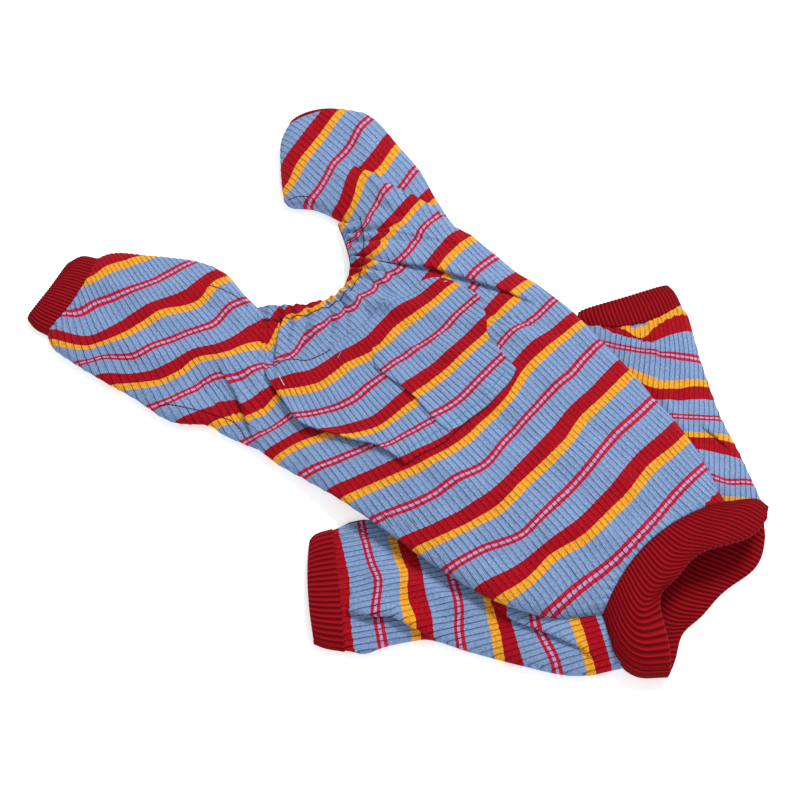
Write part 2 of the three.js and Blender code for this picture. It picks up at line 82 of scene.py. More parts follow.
# Sections along each limb, as the part's source has them. At, skew, bow and under are shares of
# its length, left and right of its width, rise of its height, base of a hind leg's height. What a
# row leaves out at its end is 0.
COLUMNS = ("at", "skew", "left", "right", "rise", "bow", "under", "base")
BODY_ROWS = (
    (0.01, -0.045, -0.22, 0.29, 1.45, 0.04),
    (0.06, -0.02, -0.3, 0.345, 1.35, 0.02, 0, 0.35),
    (0.12, 0, -0.36, 0.38, 1.1, 0.01, 0, 1.05),
    (0.2, 0, -0.4, 0.41, 1, 0, 0, 1.1),
    (0.32, 0, -0.425, 0.455, 0.95, 0, 0, 1.1),
    (0.44, 0, -0.435, 0.49, 0.95, 0, 0, 1.1),
    (0.55, 0, -0.44, 0.515, 0.9, 0, 0, 0.75),
    (0.64, 0, -0.45, 0.525, 0.9, 0, 0, 0.2),
    (0.72, 0, -0.465, 0.54, 0.88),
    (0.79, 0, -0.46, 0.545, 0.86, -0.01, -0.01),
    (0.85, 0, -0.4, 0.52, 0.84, -0.04, -0.04),
    (0.91, 0.01, -0.28, 0.46, 0.8, -0.08, -0.08),
    (0.96, 0.02, -0.17, 0.38, 0.76, -0.105, -0.105),
    (1, 0.025, -0.095, 0.305, 0.72, -0.12, -0.12),
)
BAND_ROWS = (
    (0.28, -0.35, -0.29, 0.22, 1.45, -0.3),
    (0.42, 0, -0.33, 0.28, 1.5, -0.3, 0.02),
    (0.58, 0.24, -0.36, 0.285, 1.55, -0.45),
    (0.75, 0.42, -0.36, 0.23, 1.6, -0.6),
)
LEFT_SLEEVE_ROWS = (
    (-0.18, 0.3, -0.5, 0.45, 1),
    (0, 0.26, -0.5, 0.53, 1),
    (0.1, 0.31, -0.48, 0.64, 1),
    (0.26, 0.29, -0.56, 0.65, 1),
    (0.47, 0.21, -0.51, 0.6, 0.95),
    (0.65, 0.17, -0.48, 0.53, 0.9),
    (0.83, 0.09, -0.44, 0.48, 0.86),
    (0.94, 0.03, -0.4, 0.43, 0.8, -0.02, -0.02),
    (1, 0, -0.32, 0.37, 0.76, -0.03, -0.03),
)
LEFT_SLEEVE_CUFF_ROWS = (
    (0, 0, -0.32, 0.37, 0.76, -0.03, -0.03),
    (0.45, 0, -0.31, 0.34, 0.76, -0.015, -0.015),
    (0.82, -0.018, -0.27, 0.25, 0.72, -0.012, -0.012),
)
RIGHT_SLEEVE_ROWS = (
    (0.05, -0.5, -0.24, 0.24, 0.95),
    (0.24, -0.5, -0.29, 0.32, 1),
    (0.4, -0.46, -0.37, 0.37, 1.05),
    (0.52, -0.35, -0.5, 0.44, 1.1),
    (0.62, -0.22, -0.46, 0.465, 1.1),
    (0.78, -0.16, -0.34, 0.485, 1.15),
    (0.93, -0.18, -0.21, 0.47, 1.15, 0.02, 0.02),
    (1, -0.15, -0.1, 0.39, 1.1, 0.03, 0.03),
)
LEFT_LEG_ROWS = (
    (-0.12, 0.12, -0.08, 0.6, 0.9),
    (0, 0.12, -0.22, 0.62, 0.95),
    (0.15, 0.12, -0.33, 0.64, 1),
    (0.33, 0.12, -0.32, 0.66, 1),
    (0.52, 0.12, -0.28, 0.66, 0.95),
    (0.67, 0.12, -0.24, 0.66, 0.95),
    (0.79, 0.12, -0.33, 0.66, 0.95),
    (0.88, 0.12, -0.43, 0.63, 0.9),
    (0.95, 0.13, -0.43, 0.52, 0.85),
)
LEFT_LEG_CUFF_ROWS = (
    (0, 0.13, -0.43, 0.52, 0.85),
    (0.5, 0.117, -0.43, 0.46, 0.83),
    (0.85, 0.09, -0.41, 0.4, 0.8, 0.013, 0.013),
)
RIGHT_LEG_ROWS = (
    (-0.06, -0.09, -0.6, 0.17, 0.9),
    (0.02, -0.1, -0.62, 0.24, 0.95),
    (0.12, -0.1, -0.68, 0.23, 1),
    (0.28, -0.06, -0.76, 0.18, 1),
    (0.42, -0.02, -0.82, 0.12, 1),
    (0.58, 0, -0.85, 0.1, 0.95),
    (0.76, 0.02, -0.86, 0.09, 0.95),
    (0.9, 0.06, -0.84, 0.1, 0.9, -0.03, -0.03),
    (1, 0.04, -0.82, 0.06, 0.85, -0.07, -0.07),
)
RIGHT_LEG_CUFF_ROWS = (
    (0, 0.04, -0.82, 0.06, 0.85, -0.07, -0.07),
    (0.3, 0.065, -0.83, 0.04, 0.83, -0.04, -0.04),
    (0.5, 0.08, -0.82, 0, 0.8, -0.01, -0.01),
)
EDGE_SHARE = 0.34
EDGE_ROUNDNESS = 0.8
TOP_ROUNDNESS = 0.75
UNDER_FLATNESS = 0.35
UNDER_REACH = 1.12

# Soft folds on top of a limb, from one place to another: share along its rows, and across from
# -1 on the left edge to 1 on the right; width of the limb's width, height of FOLD_HEIGHT
FOLD_HEIGHT = 4
BODY_FOLDS = (
    ((0.98, 0.5), (0.76, 1.0), 0.045, 1.3),
    ((0.95, -0.05), (0.7, 0.2), 0.04, 0.9),
    ((0.7, 0.2), (0.44, 0.6), 0.04, 1.0),
    ((0.92, -0.4), (0.7, -0.7), 0.045, 0.7),
    ((0.38, 0.55), (0.62, 0.95), 0.05, 0.7),
    ((0.1, -0.2), (0.36, -0.5), 0.06, 0.6),
    ((0.12, 0.3), (0.4, 0.15), 0.05, 0.5),
)
LEFT_SLEEVE_FOLDS = (
    ((0.25, 0.75), (0.7, 0.3), 0.07, 0.6),
    ((0.2, -0.1), (0.6, -0.5), 0.08, 0.5),
)
RIGHT_SLEEVE_FOLDS = (((0.25, 0.1), (0.75, 0.65), 0.07, 0.8),)
LEFT_LEG_FOLDS = (((0.5, -0.35), (0.8, 0.0), 0.09, 0.8),)
RIGHT_LEG_FOLDS = (((0.25, 0.3), (0.6, 0.1), 0.08, 0.6),)

# Laps, where the cloth folds over itself, in shares of the body to the right and ahead. The upper
# side is left of the line as it is listed, or right of it where side is -1.
#   line, side, height and reach of the upper side, shift of its stripes and how far that fades
BODY_LAPS = (
    (((0.22, 0.93), (0.3, 0.84), (0.335, 0.795), (0.367, 0.75), (0.39, 0.705), (0.412, 0.655),
      (0.43, 0.6), (0.44, 0.54)), 1, 5.4, 15, -7, 45),
    (((0.47, 1.12), (0.486, 1.06), (0.488, 1.0), (0.518, 0.936), (0.534, 0.865), (0.53, 0.81)),
     -1, 4.0, 16, -6, 40),
    (((-0.35, 0.96), (-0.375, 0.89), (-0.41, 0.84), (-0.46, 0.78)), 1, 3.6, 12, 5, 25),
    (((-0.07, 0.945), (-0.142, 0.915), (-0.2, 0.885), (-0.27, 0.85), (-0.3, 0.82)),
     1, 2.6, 12, -7, 32),
)
POCKET_LAPS = (
    (((0.0, 0.74), (-0.045, 0.7), (-0.045, 0.63), (-0.052, 0.58), (-0.076, 0.53), (-0.09, 0.49),
      (-0.088, 0.46)), 1, 2.6, 14, -4.5, 60),
)
LEFT_LEG_LAPS = (
    (((-0.15, 0.97), (-0.15, 0.88), (-0.12, 0.81), (-0.16, 0.75), (-0.23, 0.64)),
     1, 8.5, 16, 2, 30),
    (((0.13, 0.52), (0.08, 0.45), (0.0, 0.38), (-0.05, 0.26), (-0.12, 0.15), (-0.2, 0.08)),
     1, 4.4, 17, 0, 30),
)
RIGHT_LEG_LAPS = (
    (((-0.62, 0.93), (-0.5, 0.87), (-0.38, 0.84), (-0.24, 0.82)), -1, 2.6, 10, 5, 25),
    (((-0.1, 0.36), (0.02, 0.3), (0.1, 0.22)), 1, 2.4, 10, 0, 25),
)
# Soft wrinkles on the upper side: line in the same shares, height and half width
BODY_WRINKLES = (
    (((-0.12, 0.93), (-0.18, 0.87), (-0.25, 0.82)), 1.4, 6),
    (((-0.05, 0.89), (-0.08, 0.83)), 1.4, 5),
    (((0.02, 0.86), (-0.01, 0.8)), 1.5, 5),
    (((0.09, 0.85), (0.07, 0.78)), -1.2, 5),
    (((0.15, 0.85), (0.13, 0.74)), 1.6, 6),
    (((0.22, 0.82), (0.2, 0.72), (0.22, 0.64)), 1.2, 7),
    (((0.06, 0.72), (0.09, 0.64), (0.14, 0.58)), 1.5, 6),
    (((0.03, 0.7), (0.05, 0.63), (0.09, 0.56)), -1.2, 5),
    (((0.27, 0.55), (0.33, 0.46), (0.35, 0.36)), 1.6, 9),
    (((0.3, 0.62), (0.36, 0.52), (0.42, 0.44)), -1.4, 8),
    (((-0.3, 0.6), (-0.22, 0.48), (-0.16, 0.36)), 1.3, 10),
    (((-0.05, 0.4), (0.04, 0.3), (0.1, 0.18)), 1.2, 11),
    (((0.15, 0.36), (0.19, 0.24), (0.2, 0.12)), -1.1, 10),
    (((-0.34, 0.98), (-0.3, 0.9), (-0.33, 0.82)), 1.8, 7),
    (((-0.44, 1.0), (-0.42, 0.93), (-0.46, 0.87)), -1.4, 7),
    (((-0.5, 1.17), (-0.46, 1.07), (-0.48, 0.96)), 1.5, 9),
    (((-0.36, 1.26), (-0.33, 1.14), (-0.3, 1.03)), 1.5, 9),
    (((-0.42, 1.22), (-0.4, 1.1)), -1.1, 8),
    (((-0.24, 1.17), (-0.22, 1.07), (-0.24, 0.98)), -1.4, 7),
    (((-0.16, 1.12), (-0.17, 1.03), (-0.2, 0.95)), 1.3, 6),
    (((0.42, 1.22), (0.44, 1.1), (0.42, 1.0)), 1.4, 8),
    (((0.34, 1.16), (0.35, 1.05), (0.33, 0.97)), -1.2, 7),
    (((0.36, 1.02), (0.4, 0.93), (0.38, 0.86)), 1.5, 7),
)
# Half the width left clear at a lap's line, how far the upper side hangs over it, the roll of its
# edge, how much lower the edge is, the groove beside it, and how far both fade
LAP_EDGE = 0.9
LAP_OVERHANG = 3.4
LAP_ROLL = 1.6
LAP_DROP = 0.45
LAP_GROOVE = 0.32
LAP_FADE = 6
# Broad swells and finer crumples of the cloth, each a slice through the same noise
SWELL_HEIGHT = 2.2
SWELL_LENGTH = 48
SWELL_SLICE = 20
POCKET_SWELL = 1.8
POCKET_SWELL_LENGTH = 34
POCKET_SWELL_SLICE = 40
CRUMPLE_HEIGHT = 1.1
CRUMPLE_ACROSS = 13
CRUMPLE_ALONG = 55
CRUMPLE_SLICE = 5

# Where a sleeve's cloth meets the body's: how softly the two run together, how far the body's
# stands above the other and dives at its sides, how far the sleeve's sinks inside them, the reach
# of both from the sides, the casing's rise, and the height that stands for no cloth
JOIN_BLEND = 7.0
BODY_STANDS = 0.25
BODY_DIVES = 1.6
SLEEVE_SINKS = 2.2
DIVE_FADE = 5
CASING_RISE = 0.5
NOWHERE = -1000.0
# Cloth stays this far off the floor; where a side counts as steep; and how far a rim rounds out
FLOOR_CLEAR = 0.02
STEEP = 1.25
RIM_ROUND = 0.5

# The band's mouth: place across, width, and pull of the upper side and the under side
RIM_FULL = (-0.55, 0.42, 21, 15)
RIM_DRAWN = (0.56, 0.22, 11, 6)
# The left end of the neckline: shift, sink, and how far round and along they reach
NECK_END_SHIFT = 4
NECK_END_SINK = 2.5
NECK_END_AROUND = 0.35
NECK_END_ROWS = 0.5
NECK_END_CLEAR = 6

# The pocket: its curled left edge, its width, how far it lies above the body, and its wall from
# the forward edge back, as the share at the edge, the rest, and how soon that is reached
POCKET_CURL = 3.2
POCKET_CURL_REACH = 5
POCKET_ACROSS = 150
POCKET_ABOVE = 0.6
POCKET_UNDERSIDE = 0.5
POCKET_EDGE_WALL = (0.35, 0.65, 9)

# Gathers at the neck casing, broad and fine, and puckers where the knit is sewn to a rib:
# height, how far they reach back from the seam, and how far apart they are
BROAD_GATHERS = (2.6, 40, 11)
FINE_GATHERS = (0.8, 16, 5.2)
GATHER_SLIDE = 1.7
PUCKERS = (0.55, 9, 7.5)

# Seams and stitches, in shares of the body to the right and ahead
UNDERARM_SEAM = (
    (-0.561, 0.992), (-0.538, 0.974), (-0.512, 0.939), (-0.489, 0.911), (-0.463, 0.867),
    (-0.455, 0.845), (-0.463, 0.815), (-0.475, 0.8),
)
SHOULDER_SEAM = ((-0.16, 1.12), (-0.137, 1.075), (-0.13, 1.043), (-0.134, 1.015))
POCKET_HEM_STITCH = ((-0.1, 0.775), (-0.04, 0.787), (0.02, 0.782))
POCKET_HEM_STITCH_RIGHT = ((0.1, 0.775), (0.18, 0.768), (0.28, 0.75))
POCKET_FOOT_STITCH = (
    (-0.245, 0.515), (-0.138, 0.498), (-0.07, 0.484), (0.087, 0.47), (0.185, 0.478),
)
POCKET_TACKS = (
    ((-0.262, 0.84), (-0.278, 0.812)),
    ((0.33, 0.732), (0.345, 0.722)),
    ((0.352, 0.665), (0.356, 0.65)),
)
SLEEVE_HEM_STITCH = ((0.255, 1.15), (0.28, 1.135), (0.305, 1.112))
# The thread beside the pocket's upper edge: from and to shares of it, and how far inside it
POCKET_EDGE_THREAD = (0.04, 0.28, 1.2)

# Stripes, along the fabric from one yellow-and-red edge to the next
STRIPE_PERIOD = 60.6
STRIPES = (
    (0.0, "crimson"),
    (12.0, "blue"),
    (28.9, "thin_red"),
    (31.7, "gap"),
    (33.8, "thin_red"),
    (36.6, "blue"),
    (53.6, "yellow"),
)
YARNS = {
    "crimson": (0.36, 0.0035, 0.011),
    "blue": (0.198, 0.295, 0.495),
    "thin_red": (0.47, 0.014, 0.04),
    "gap": (0.40, 0.30, 0.50),
    "yellow": (0.77, 0.335, 0.026),
}
# Ribs: their usual pitch, and the pitch to the right and ahead in shares of the body, where they
# are stretched apart or drawn together; how far each of those reaches, and the grid for solving
RIB_PITCH = 4.2
RIB_SPACING = (
    (0.0, 0.0, 3.75),
    (0.1, 0.5, 3.9),
    (-0.3, 0.6, 3.9),
    (0.3, 0.8, 4.3),
    (-0.35, 1.1, 4.7),
    (0.42, 1.1, 6.0),
    (-0.5, 0.2, 4.2),
)
RIB_SPACING_REACH = 90
RIB_GRID = 36.0
# Relief of the wide ribs, how square they are, and the columns of mesh in a rib of the bands
RIB_HEIGHT = 0.6
RIB_SQUARENESS = 0.55
RIB_COLUMNS = 8

# Where each yellow-and-red edge lies: stripe number, then places ahead at the given places aside,
# with None where it doesn't reach
BODY_ASIDES = (-0.4, -0.3, -0.2, -0.1, 0.0, 0.1, 0.2, 0.3, 0.4)
BODY_MARKS = (
    (0, (None, -0.02, -0.03, -0.04, -0.04, -0.04, -0.04, -0.04)),
    (1, (None, 0.16, 0.155, 0.13, 0.125, 0.12, 0.125, 0.115)),
    (2, (0.36, 0.325, 0.3, 0.295, 0.29, 0.285, 0.295, 0.29, 0.29)),
    (3, (0.54, 0.5, 0.465, 0.445, 0.44, 0.435, 0.45, 0.45, 0.445)),
    (4, (0.715, 0.675, None, None, None, None, None, 0.59, 0.59)),
    (5, (None, 0.82, 0.8, 0.765, 0.755, 0.745, 0.735, 0.74, 0.77)),
    (6, (None, None, 0.93, 0.935, 0.91, 0.9, 0.895, 0.905, 0.915)),
    (1.54, (None, 0.26, 0.22, 0.215, 0.21, 0.21, 0.215, 0.21)),
    (2.54, (0.455, 0.415, 0.395, 0.37, 0.375, 0.375, 0.375, 0.37, 0.375)),
    (3.54, (0.635, 0.595, None, None, None, None, None, 0.53, 0.515)),
    (5.54, (None, 0.9, 0.86, 0.865, 0.855, 0.84, 0.84, 0.83, 0.85)),
)
LEFT_SLEEVE_ASIDES = (-0.62, -0.56, -0.5, -0.44, -0.38, -0.32, -0.26, -0.2, -0.14)
LEFT_SLEEVE_MARKS = (
    (5, (None, None, 0.885, 0.86, 0.82)),
    (5.54, (None, 0.995, 0.975, 0.96, 0.95, 0.9, 0.89)),
    (6, (None, 1.075, 1.035, 1.015, 1.01, 0.975, 0.96, 0.94)),
    (6.54, (1.2, 1.17, 1.115, 1.1, 1.08, 1.06, 1.04, 1.045, 1.04)),
    (7, (1.295, 1.21, 1.185, 1.17, 1.16, 1.15, 1.12, 1.11, 1.12)),
    (7.54, (None, None, 1.285, 1.275, 1.25, 1.23, 1.215, 1.21, 1.2)),
    (8, (None, None, None, None, 1.335, 1.33, 1.31)),
)
RIGHT_SLEEVE_ASIDES = (0.31, 0.36, 0.41, 0.46, 0.51, 0.56, 0.61, 0.66)
RIGHT_SLEEVE_MARKS = (
    (5.54, (None, None, 0.854, 0.862)),
    (6, (None, 0.914, 0.91, 0.914, None, 0.905)),
    (6.54, (None, 0.973, 0.98, 0.988, 0.972, 0.977, 0.985)),
    (7, (None, 1.026, 1.041, 1.06, 1.043, 1.05, 1.06, 1.07)),
    (7.54, (1.108, 1.113, 1.122, 1.133, 1.134, 1.141, 1.153, 1.16)),
    (8, (1.183, 1.197, 1.203, 1.208, 1.215, 1.222, 1.228)),
)
POCKET_ASIDES = (-0.3, -0.2, -0.1, 0.0, 0.1, 0.2, 0.3)
POCKET_MARKS = (
    (3.54, (None, 0.543, 0.52, 0.508, 0.506, 0.505)),
    (4, (0.65, 0.598, 0.587, 0.587, 0.578, 0.575, 0.57)),
    (4.54, (0.735, 0.69, 0.68, 0.675, 0.662, 0.651, 0.652)),
    (5, (0.82, 0.765, 0.755, 0.733, 0.735, 0.72, 0.717)),
)
# The same on the hind legs, in shares of the leg: across its line, and along it from the hip
LEFT_LEG_ASIDES = (-0.25, -0.13, -0.01, 0.11, 0.23, 0.35)
LEFT_LEG_MARKS = (
    (3, (0.083, 0.11, 0.136, 0.166)),
    (2.54, (0.227, None, 0.305, 0.327)),
    (2, (0.403, 0.421)),
    (1.54, (0.553, 0.571, 0.577, 0.594)),
    (1, (None, 0.717, 0.756, 0.772, 0.778, 0.81)),
    (0.54, (None, 0.867, 0.871, 0.875, 0.907)),
    (0, (1, 1.015, 1.03, 1.04, 1.06, 1.08)),
)
RIGHT_LEG_ASIDES = (-0.73, -0.49, -0.37, -0.25, -0.13, -0.01)
RIGHT_LEG_MARKS = (
    (3, (None, None, None, None, -0.019, -0.031)),
    (2.54, (None, None, None, 0.121, 0.093, 0.062)),
    (2, (None, None, None, 0.305, None, 0.296)),
    (1.54, (None, None, None, None, None, 0.396)),
    (1, (None, None, 0.584, 0.573, 0.569, 0.573)),
    (0.54, (0.886, 0.81, 0.791, 0.767, 0.746, 0.727)),
    (0, (None, None, 0.867, 0.914, 0.949, 0.974)),
)

# Edges of the pocket, in shares of the body to the right and ahead, from corner to corner
POCKET_TOP = (
    (-0.27, 0.88), (-0.23, 0.87), (-0.195, 0.853), (-0.164, 0.825), (-0.09, 0.805),
    (-0.03, 0.8), (0.083, 0.79), (0.2, 0.78), (0.3, 0.765), (0.35, 0.725), (0.36, 0.65),
)
POCKET_LEFT = (
    (-0.27, 0.88), (-0.3, 0.83), (-0.323, 0.775), (-0.335, 0.735), (-0.32, 0.69),
    (-0.298, 0.65), (-0.28, 0.61), (-0.26, 0.57), (-0.255, 0.53), (-0.254, 0.493),
)
POCKET_BOTTOM = (
    (-0.254, 0.493), (-0.2, 0.482), (-0.126, 0.465), (-0.04, 0.463), (0.06, 0.453),
    (0.15, 0.453), (0.2, 0.462),
)
POCKET_RIGHT = ((0.36, 0.65), (0.3, 0.598), (0.25, 0.565), (0.228, 0.525), (0.2, 0.462))


# Limbs: laid tubes with a section at each row


def smooth_at(values, place):
    """A value of a row table at any place: smooth through the rows, straight on beyond them."""
    last = len(values) - 1
    inside = np.clip(place, 0, last)
    k = np.minimum(np.floor(inside).astype(int), last - 1)
    p1 = values[k]
    p2 = values[k + 1]
    slope1 = np.where(k > 0, (p2 - values[np.maximum(k - 1, 0)]) / 2, p2 - p1)
    slope2 = np.where(k < last - 1, (values[np.minimum(k + 2, last)] - p1) / 2, p2 - p1)
    t = inside - k
    value = (2 * t**3 - 3 * t**2 + 1) * p1 + (t**3 - 2 * t**2 + t) * slope1
    value = value + (3 * t**2 - 2 * t**3) * p2 + (t**3 - t**2) * slope2
    return value + (place - inside) * (p2 - p1)


def lengths(points):
    """Distance along a line of points, from 0 at the first one."""
    return np.r_[0, np.cumsum(np.linalg.norm(np.diff(points, axis=0), axis=1))]


def across_at(turn):
    """Place across a section at a turn round it, from -1 on the left edge to 1 on the right."""
    return -np.sign(np.cos(turn)) * np.abs(np.cos(turn)) ** EDGE_ROUNDNESS


def step(start, heading, ahead, aside=0.0):
    """A point on the floor at a distance along a heading from another, and to its right."""
    angle = np.radians(heading)
    return (
        start[0] + np.cos(angle) * ahead + np.sin(angle) * aside,
        start[1] + np.sin(angle) * ahead - np.cos(angle) * aside,
    )


def on_body(place):
    return step(BODY_REAR, 90, place[0] * BODY_LENGTH, place[1] * BODY_WIDTH)


def body_plan(aside, ahead):
    return np.array(on_body((ahead, aside)))


class Limb:
    """A tube laid along a heading, with its rows in millimetres and its soft folds."""

    def __init__(self, rows, length, width, height, root, heading, folds=(), reach=None):
        table = np.zeros((len(rows), len(COLUMNS)))
        for k, row in enumerate(rows):
            table[k, :len(row)] = row
        units = {
            "at": reach or length, "skew": length, "left": width, "right": width,
            "base": LEG_HEIGHT, "rise": height, "bow": length, "under": length,
        }
        self.columns = {name: table[:, i] * units[name] for i, name in enumerate(COLUMNS)}
        angle = np.radians(heading)
        self.line = np.array((np.cos(angle), np.sin(angle)))
        self.side = np.array((np.sin(angle), -np.cos(angle)))
        self.root = np.array(root, float)
        self.heading = heading
        self.length = length
        self.width = width
        self.height = height
        self.folds = folds
        self.last = len(rows) - 1

    def relief(self, share, across):
        """Height that the soft folds add to the top."""
        reach = self.columns["at"][-1] - self.columns["at"][0]
        share = np.broadcast_to(share, np.shape(across))
        here = np.stack((across * self.width / 2, share * reach), -1)
        height = np.zeros(np.shape(across))
        for start, end, width, tall in self.folds:
            first = np.array((start[1] * self.width / 2, start[0] * reach))
            span = np.array((end[1] * self.width / 2, end[0] * reach)) - first
            along = np.clip((here - first) @ span / (span @ span), 0, 1)
            away = np.linalg.norm(here - first - along[..., None] * span, axis=-1)
            height += tall * FOLD_HEIGHT * np.exp(-((away / (width * self.width)) ** 2))
        return height

    def ring(self, place, turn, grow=0.0):
        """Points round the section at a place. Turn runs over the top from 0 to pi, and back under."""
        s = {name: smooth_at(self.columns[name], place) for name in COLUMNS}
        sine = np.sin(turn)
        across = across_at(turn)
        base = np.maximum(0, s["base"])
        edge = base + s["rise"] * EDGE_SHARE
        lateral = (s["left"] + s["right"]) / 2 + across * ((s["right"] - s["left"]) / 2 + grow)
        bulge = 1 - across * across
        folds = self.relief(place / self.last, across + 0 * place) * bulge
        top = s["rise"] * (1 - EDGE_SHARE) + grow + folds
        drop = np.minimum(1, UNDER_REACH * np.abs(sine) ** UNDER_FLATNESS)
        over = np.sin(turn) >= 0
        low = edge - (s["rise"] * EDGE_SHARE + grow) * drop
        z = np.where(over, edge + top * np.abs(sine) ** TOP_ROUNDNESS, low)
        along = s["at"] + s["skew"] * (across + 1) / 2 + np.where(over, s["bow"], s["under"]) * bulge
        x = self.root[0] + self.line[0] * along + self.side[0] * lateral
        y = self.root[1] + self.line[1] * along + self.side[1] * lateral
        return np.stack((x, y, z), -1)

    def rows_over(self, distance):
        """How far a distance is in rows, at the end of the limb."""
        return distance / abs(self.columns["at"][-1] - self.columns["at"][-2])

    def plan(self, aside, along):
        """A place in shares of the limb as a point on the floor."""
        return self.root + self.side * aside * self.width + self.line * along * self.length


def cuff_of(limb, rows, depth):
    """The limb that a cuff follows: its rows reach over its depth from the end of a sleeve or leg."""
    root = step(limb.root, limb.heading, limb.columns["at"][-1] + SEAM_GAP)
    return Limb(rows, limb.length, limb.width, limb.height, root, limb.heading, reach=depth)


torso = Limb(BODY_ROWS, BODY_LENGTH, BODY_WIDTH, BODY_HEIGHT, BODY_REAR, 90, BODY_FOLDS)
band = Limb(BAND_ROWS, BAND_DEPTH, BODY_WIDTH, BODY_HEIGHT, step(BODY_REAR, 90, -SEAM_GAP), 270)
left_sleeve = Limb(
    LEFT_SLEEVE_ROWS, LEFT_SLEEVE_LENGTH, SLEEVE_WIDTH, SLEEVE_HEIGHT,
    on_body(LEFT_SHOULDER), 106, LEFT_SLEEVE_FOLDS,
)
right_sleeve = Limb(
    RIGHT_SLEEVE_ROWS, RIGHT_SLEEVE_LENGTH, SLEEVE_WIDTH, SLEEVE_HEIGHT,
    on_body(RIGHT_SHOULDER), 80, RIGHT_SLEEVE_FOLDS,
)
left_leg = Limb(
    LEFT_LEG_ROWS, LEFT_LEG_LENGTH, LEG_WIDTH, LEG_HEIGHT, on_body(LEFT_HIP), 121, LEFT_LEG_FOLDS,
)
right_leg = Limb(
    RIGHT_LEG_ROWS, RIGHT_LEG_LENGTH, LEG_WIDTH, LEG_HEIGHT, on_body(RIGHT_HIP), 50, RIGHT_LEG_FOLDS,
)


# Fabric coordinates: across the ribs and along the stripes' period, in millimetres


class Field:
    """A smooth value over the floor plan through a table of marks, with its slope."""

    SCALE = 100.0
    SLACK = 0.002
    NUDGE = 0.5

    def __init__(self, points, values):
        self.points = np.array(points, float) / self.SCALE
        count = len(self.points)
        kernel = self.kernel(self.points) + np.eye(count) * self.SLACK
        flat = np.c_[np.ones(count), self.points]
        system = np.block([[kernel, flat], [flat.T, np.zeros((3, 3))]])
        self.weights = np.linalg.solve(system, np.r_[values, np.zeros(3)])

    def kernel(self, at):
        square = ((at[:, None] - self.points[None]) ** 2).sum(-1)
        return 0.5 * square * np.log(square + 1e-12)

    def __call__(self, plan):
        shape = plan.shape[:-1]
        at = plan.reshape(-1, 2) / self.SCALE
        value = self.kernel(at) @ self.weights[:-3] + np.c_[np.ones(len(at)), at] @ self.weights[-3:]
        return value.reshape(shape)

    def slope(self, plan):
        return np.stack([
            (self(plan + axis) - self(plan - axis)) / (2 * self.NUDGE) for axis in np.eye(2) * self.NUDGE
        ], -1)


class Ribs:
    """The coordinate across the ribs, which run at right angles to the stripes of a field."""

    SPREAD = RIB_GRID * 1.6
    STIFFNESS = 0.02

    def __init__(self, stripes, low, high):
        self.centres = self.grid(low, (high[0] + RIB_GRID, high[1] + RIB_GRID), RIB_GRID)
        fine = self.grid(low, high, RIB_GRID / 2)
        slope = stripes.slope(fine)
        slope /= np.linalg.norm(slope, axis=1)[:, None]
        near = [
            np.exp(-(((fine - body_plan(aside, ahead)) / RIB_SPACING_REACH) ** 2).sum(-1))
            for aside, ahead, _ in RIB_SPACING
        ]
        pitch = sum(w * row[2] for w, row in zip(near, RIB_SPACING)) + 1e-6 * RIB_PITCH
        pitch = pitch / (sum(near) + 1e-6)
        wanted = np.stack((slope[:, 1], -slope[:, 0]), -1) * (RIB_PITCH / pitch)[:, None]
        basis = self.basis(fine)
        away = fine[:, None] - self.centres[None]
        bell = basis[:, 2:, None] * -2 * away / self.SPREAD**2
        rows = []
        for axis in (0, 1):
            flat = np.zeros((len(fine), 2))
            flat[:, axis] = 1
            rows.append(np.c_[flat, bell[:, :, axis]])
        system = np.r_[rows[0], rows[1], np.eye(len(self.centres) + 2) * self.STIFFNESS]
        goal = np.r_[wanted[:, 0], wanted[:, 1], np.zeros(len(self.centres) + 2)]
        self.weights = np.linalg.lstsq(system, goal, rcond=None)[0]

    def grid(self, low, high, spacing):
        xs = np.arange(low[0], high[0], spacing)
        ys = np.arange(low[1], high[1], spacing)
        return np.stack(np.meshgrid(xs, ys), -1).reshape(-1, 2)

    def basis(self, at):
        square = ((at[:, None] - self.centres[None]) ** 2).sum(-1)
        return np.c_[at, np.exp(-square / self.SPREAD**2)]

    def __call__(self, plan):
        return (self.basis(plan.reshape(-1, 2)) @ self.weights).reshape(plan.shape[:-1])


class Line:
    """A line laid on a limb's plan."""

    side = 1

    def __init__(self, line, plan):
        self.line = np.array([plan(*place) for place in line])

    def away(self, plan):
        """Distance from the line, positive on the upper side, its direction, and a fade at the ends."""
        best = np.full(plan.shape[:-1], 1e9)
        signed = np.zeros(plan.shape[:-1])
        place = np.zeros(plan.shape[:-1])
        toward = np.zeros(plan.shape)
        reach = lengths(self.line)
        for k, span in enumerate(np.diff(self.line, axis=0)):
            there = plan - self.line[k]
            share = np.clip(there @ span / (span @ span), 0, 1)
            off = there - share[..., None] * span
            distance = np.linalg.norm(off, axis=-1)
            upper = np.sign(span[0] * there[..., 1] - span[1] * there[..., 0] + 1e-9) * self.side
            nearer = distance < best
            best = np.where(nearer, distance, best)
            signed = np.where(nearer, upper * distance, signed)
            along = reach[k] + share * (reach[k + 1] - reach[k])
            place = np.where(nearer, along / reach[-1], place)
            across = np.array((-span[1], span[0])) / np.linalg.norm(span) * self.side
            toward = np.where(nearer[..., None], across, toward)
        return signed, toward, np.sin(np.pi * np.clip(place, 0, 1)) ** 0.5


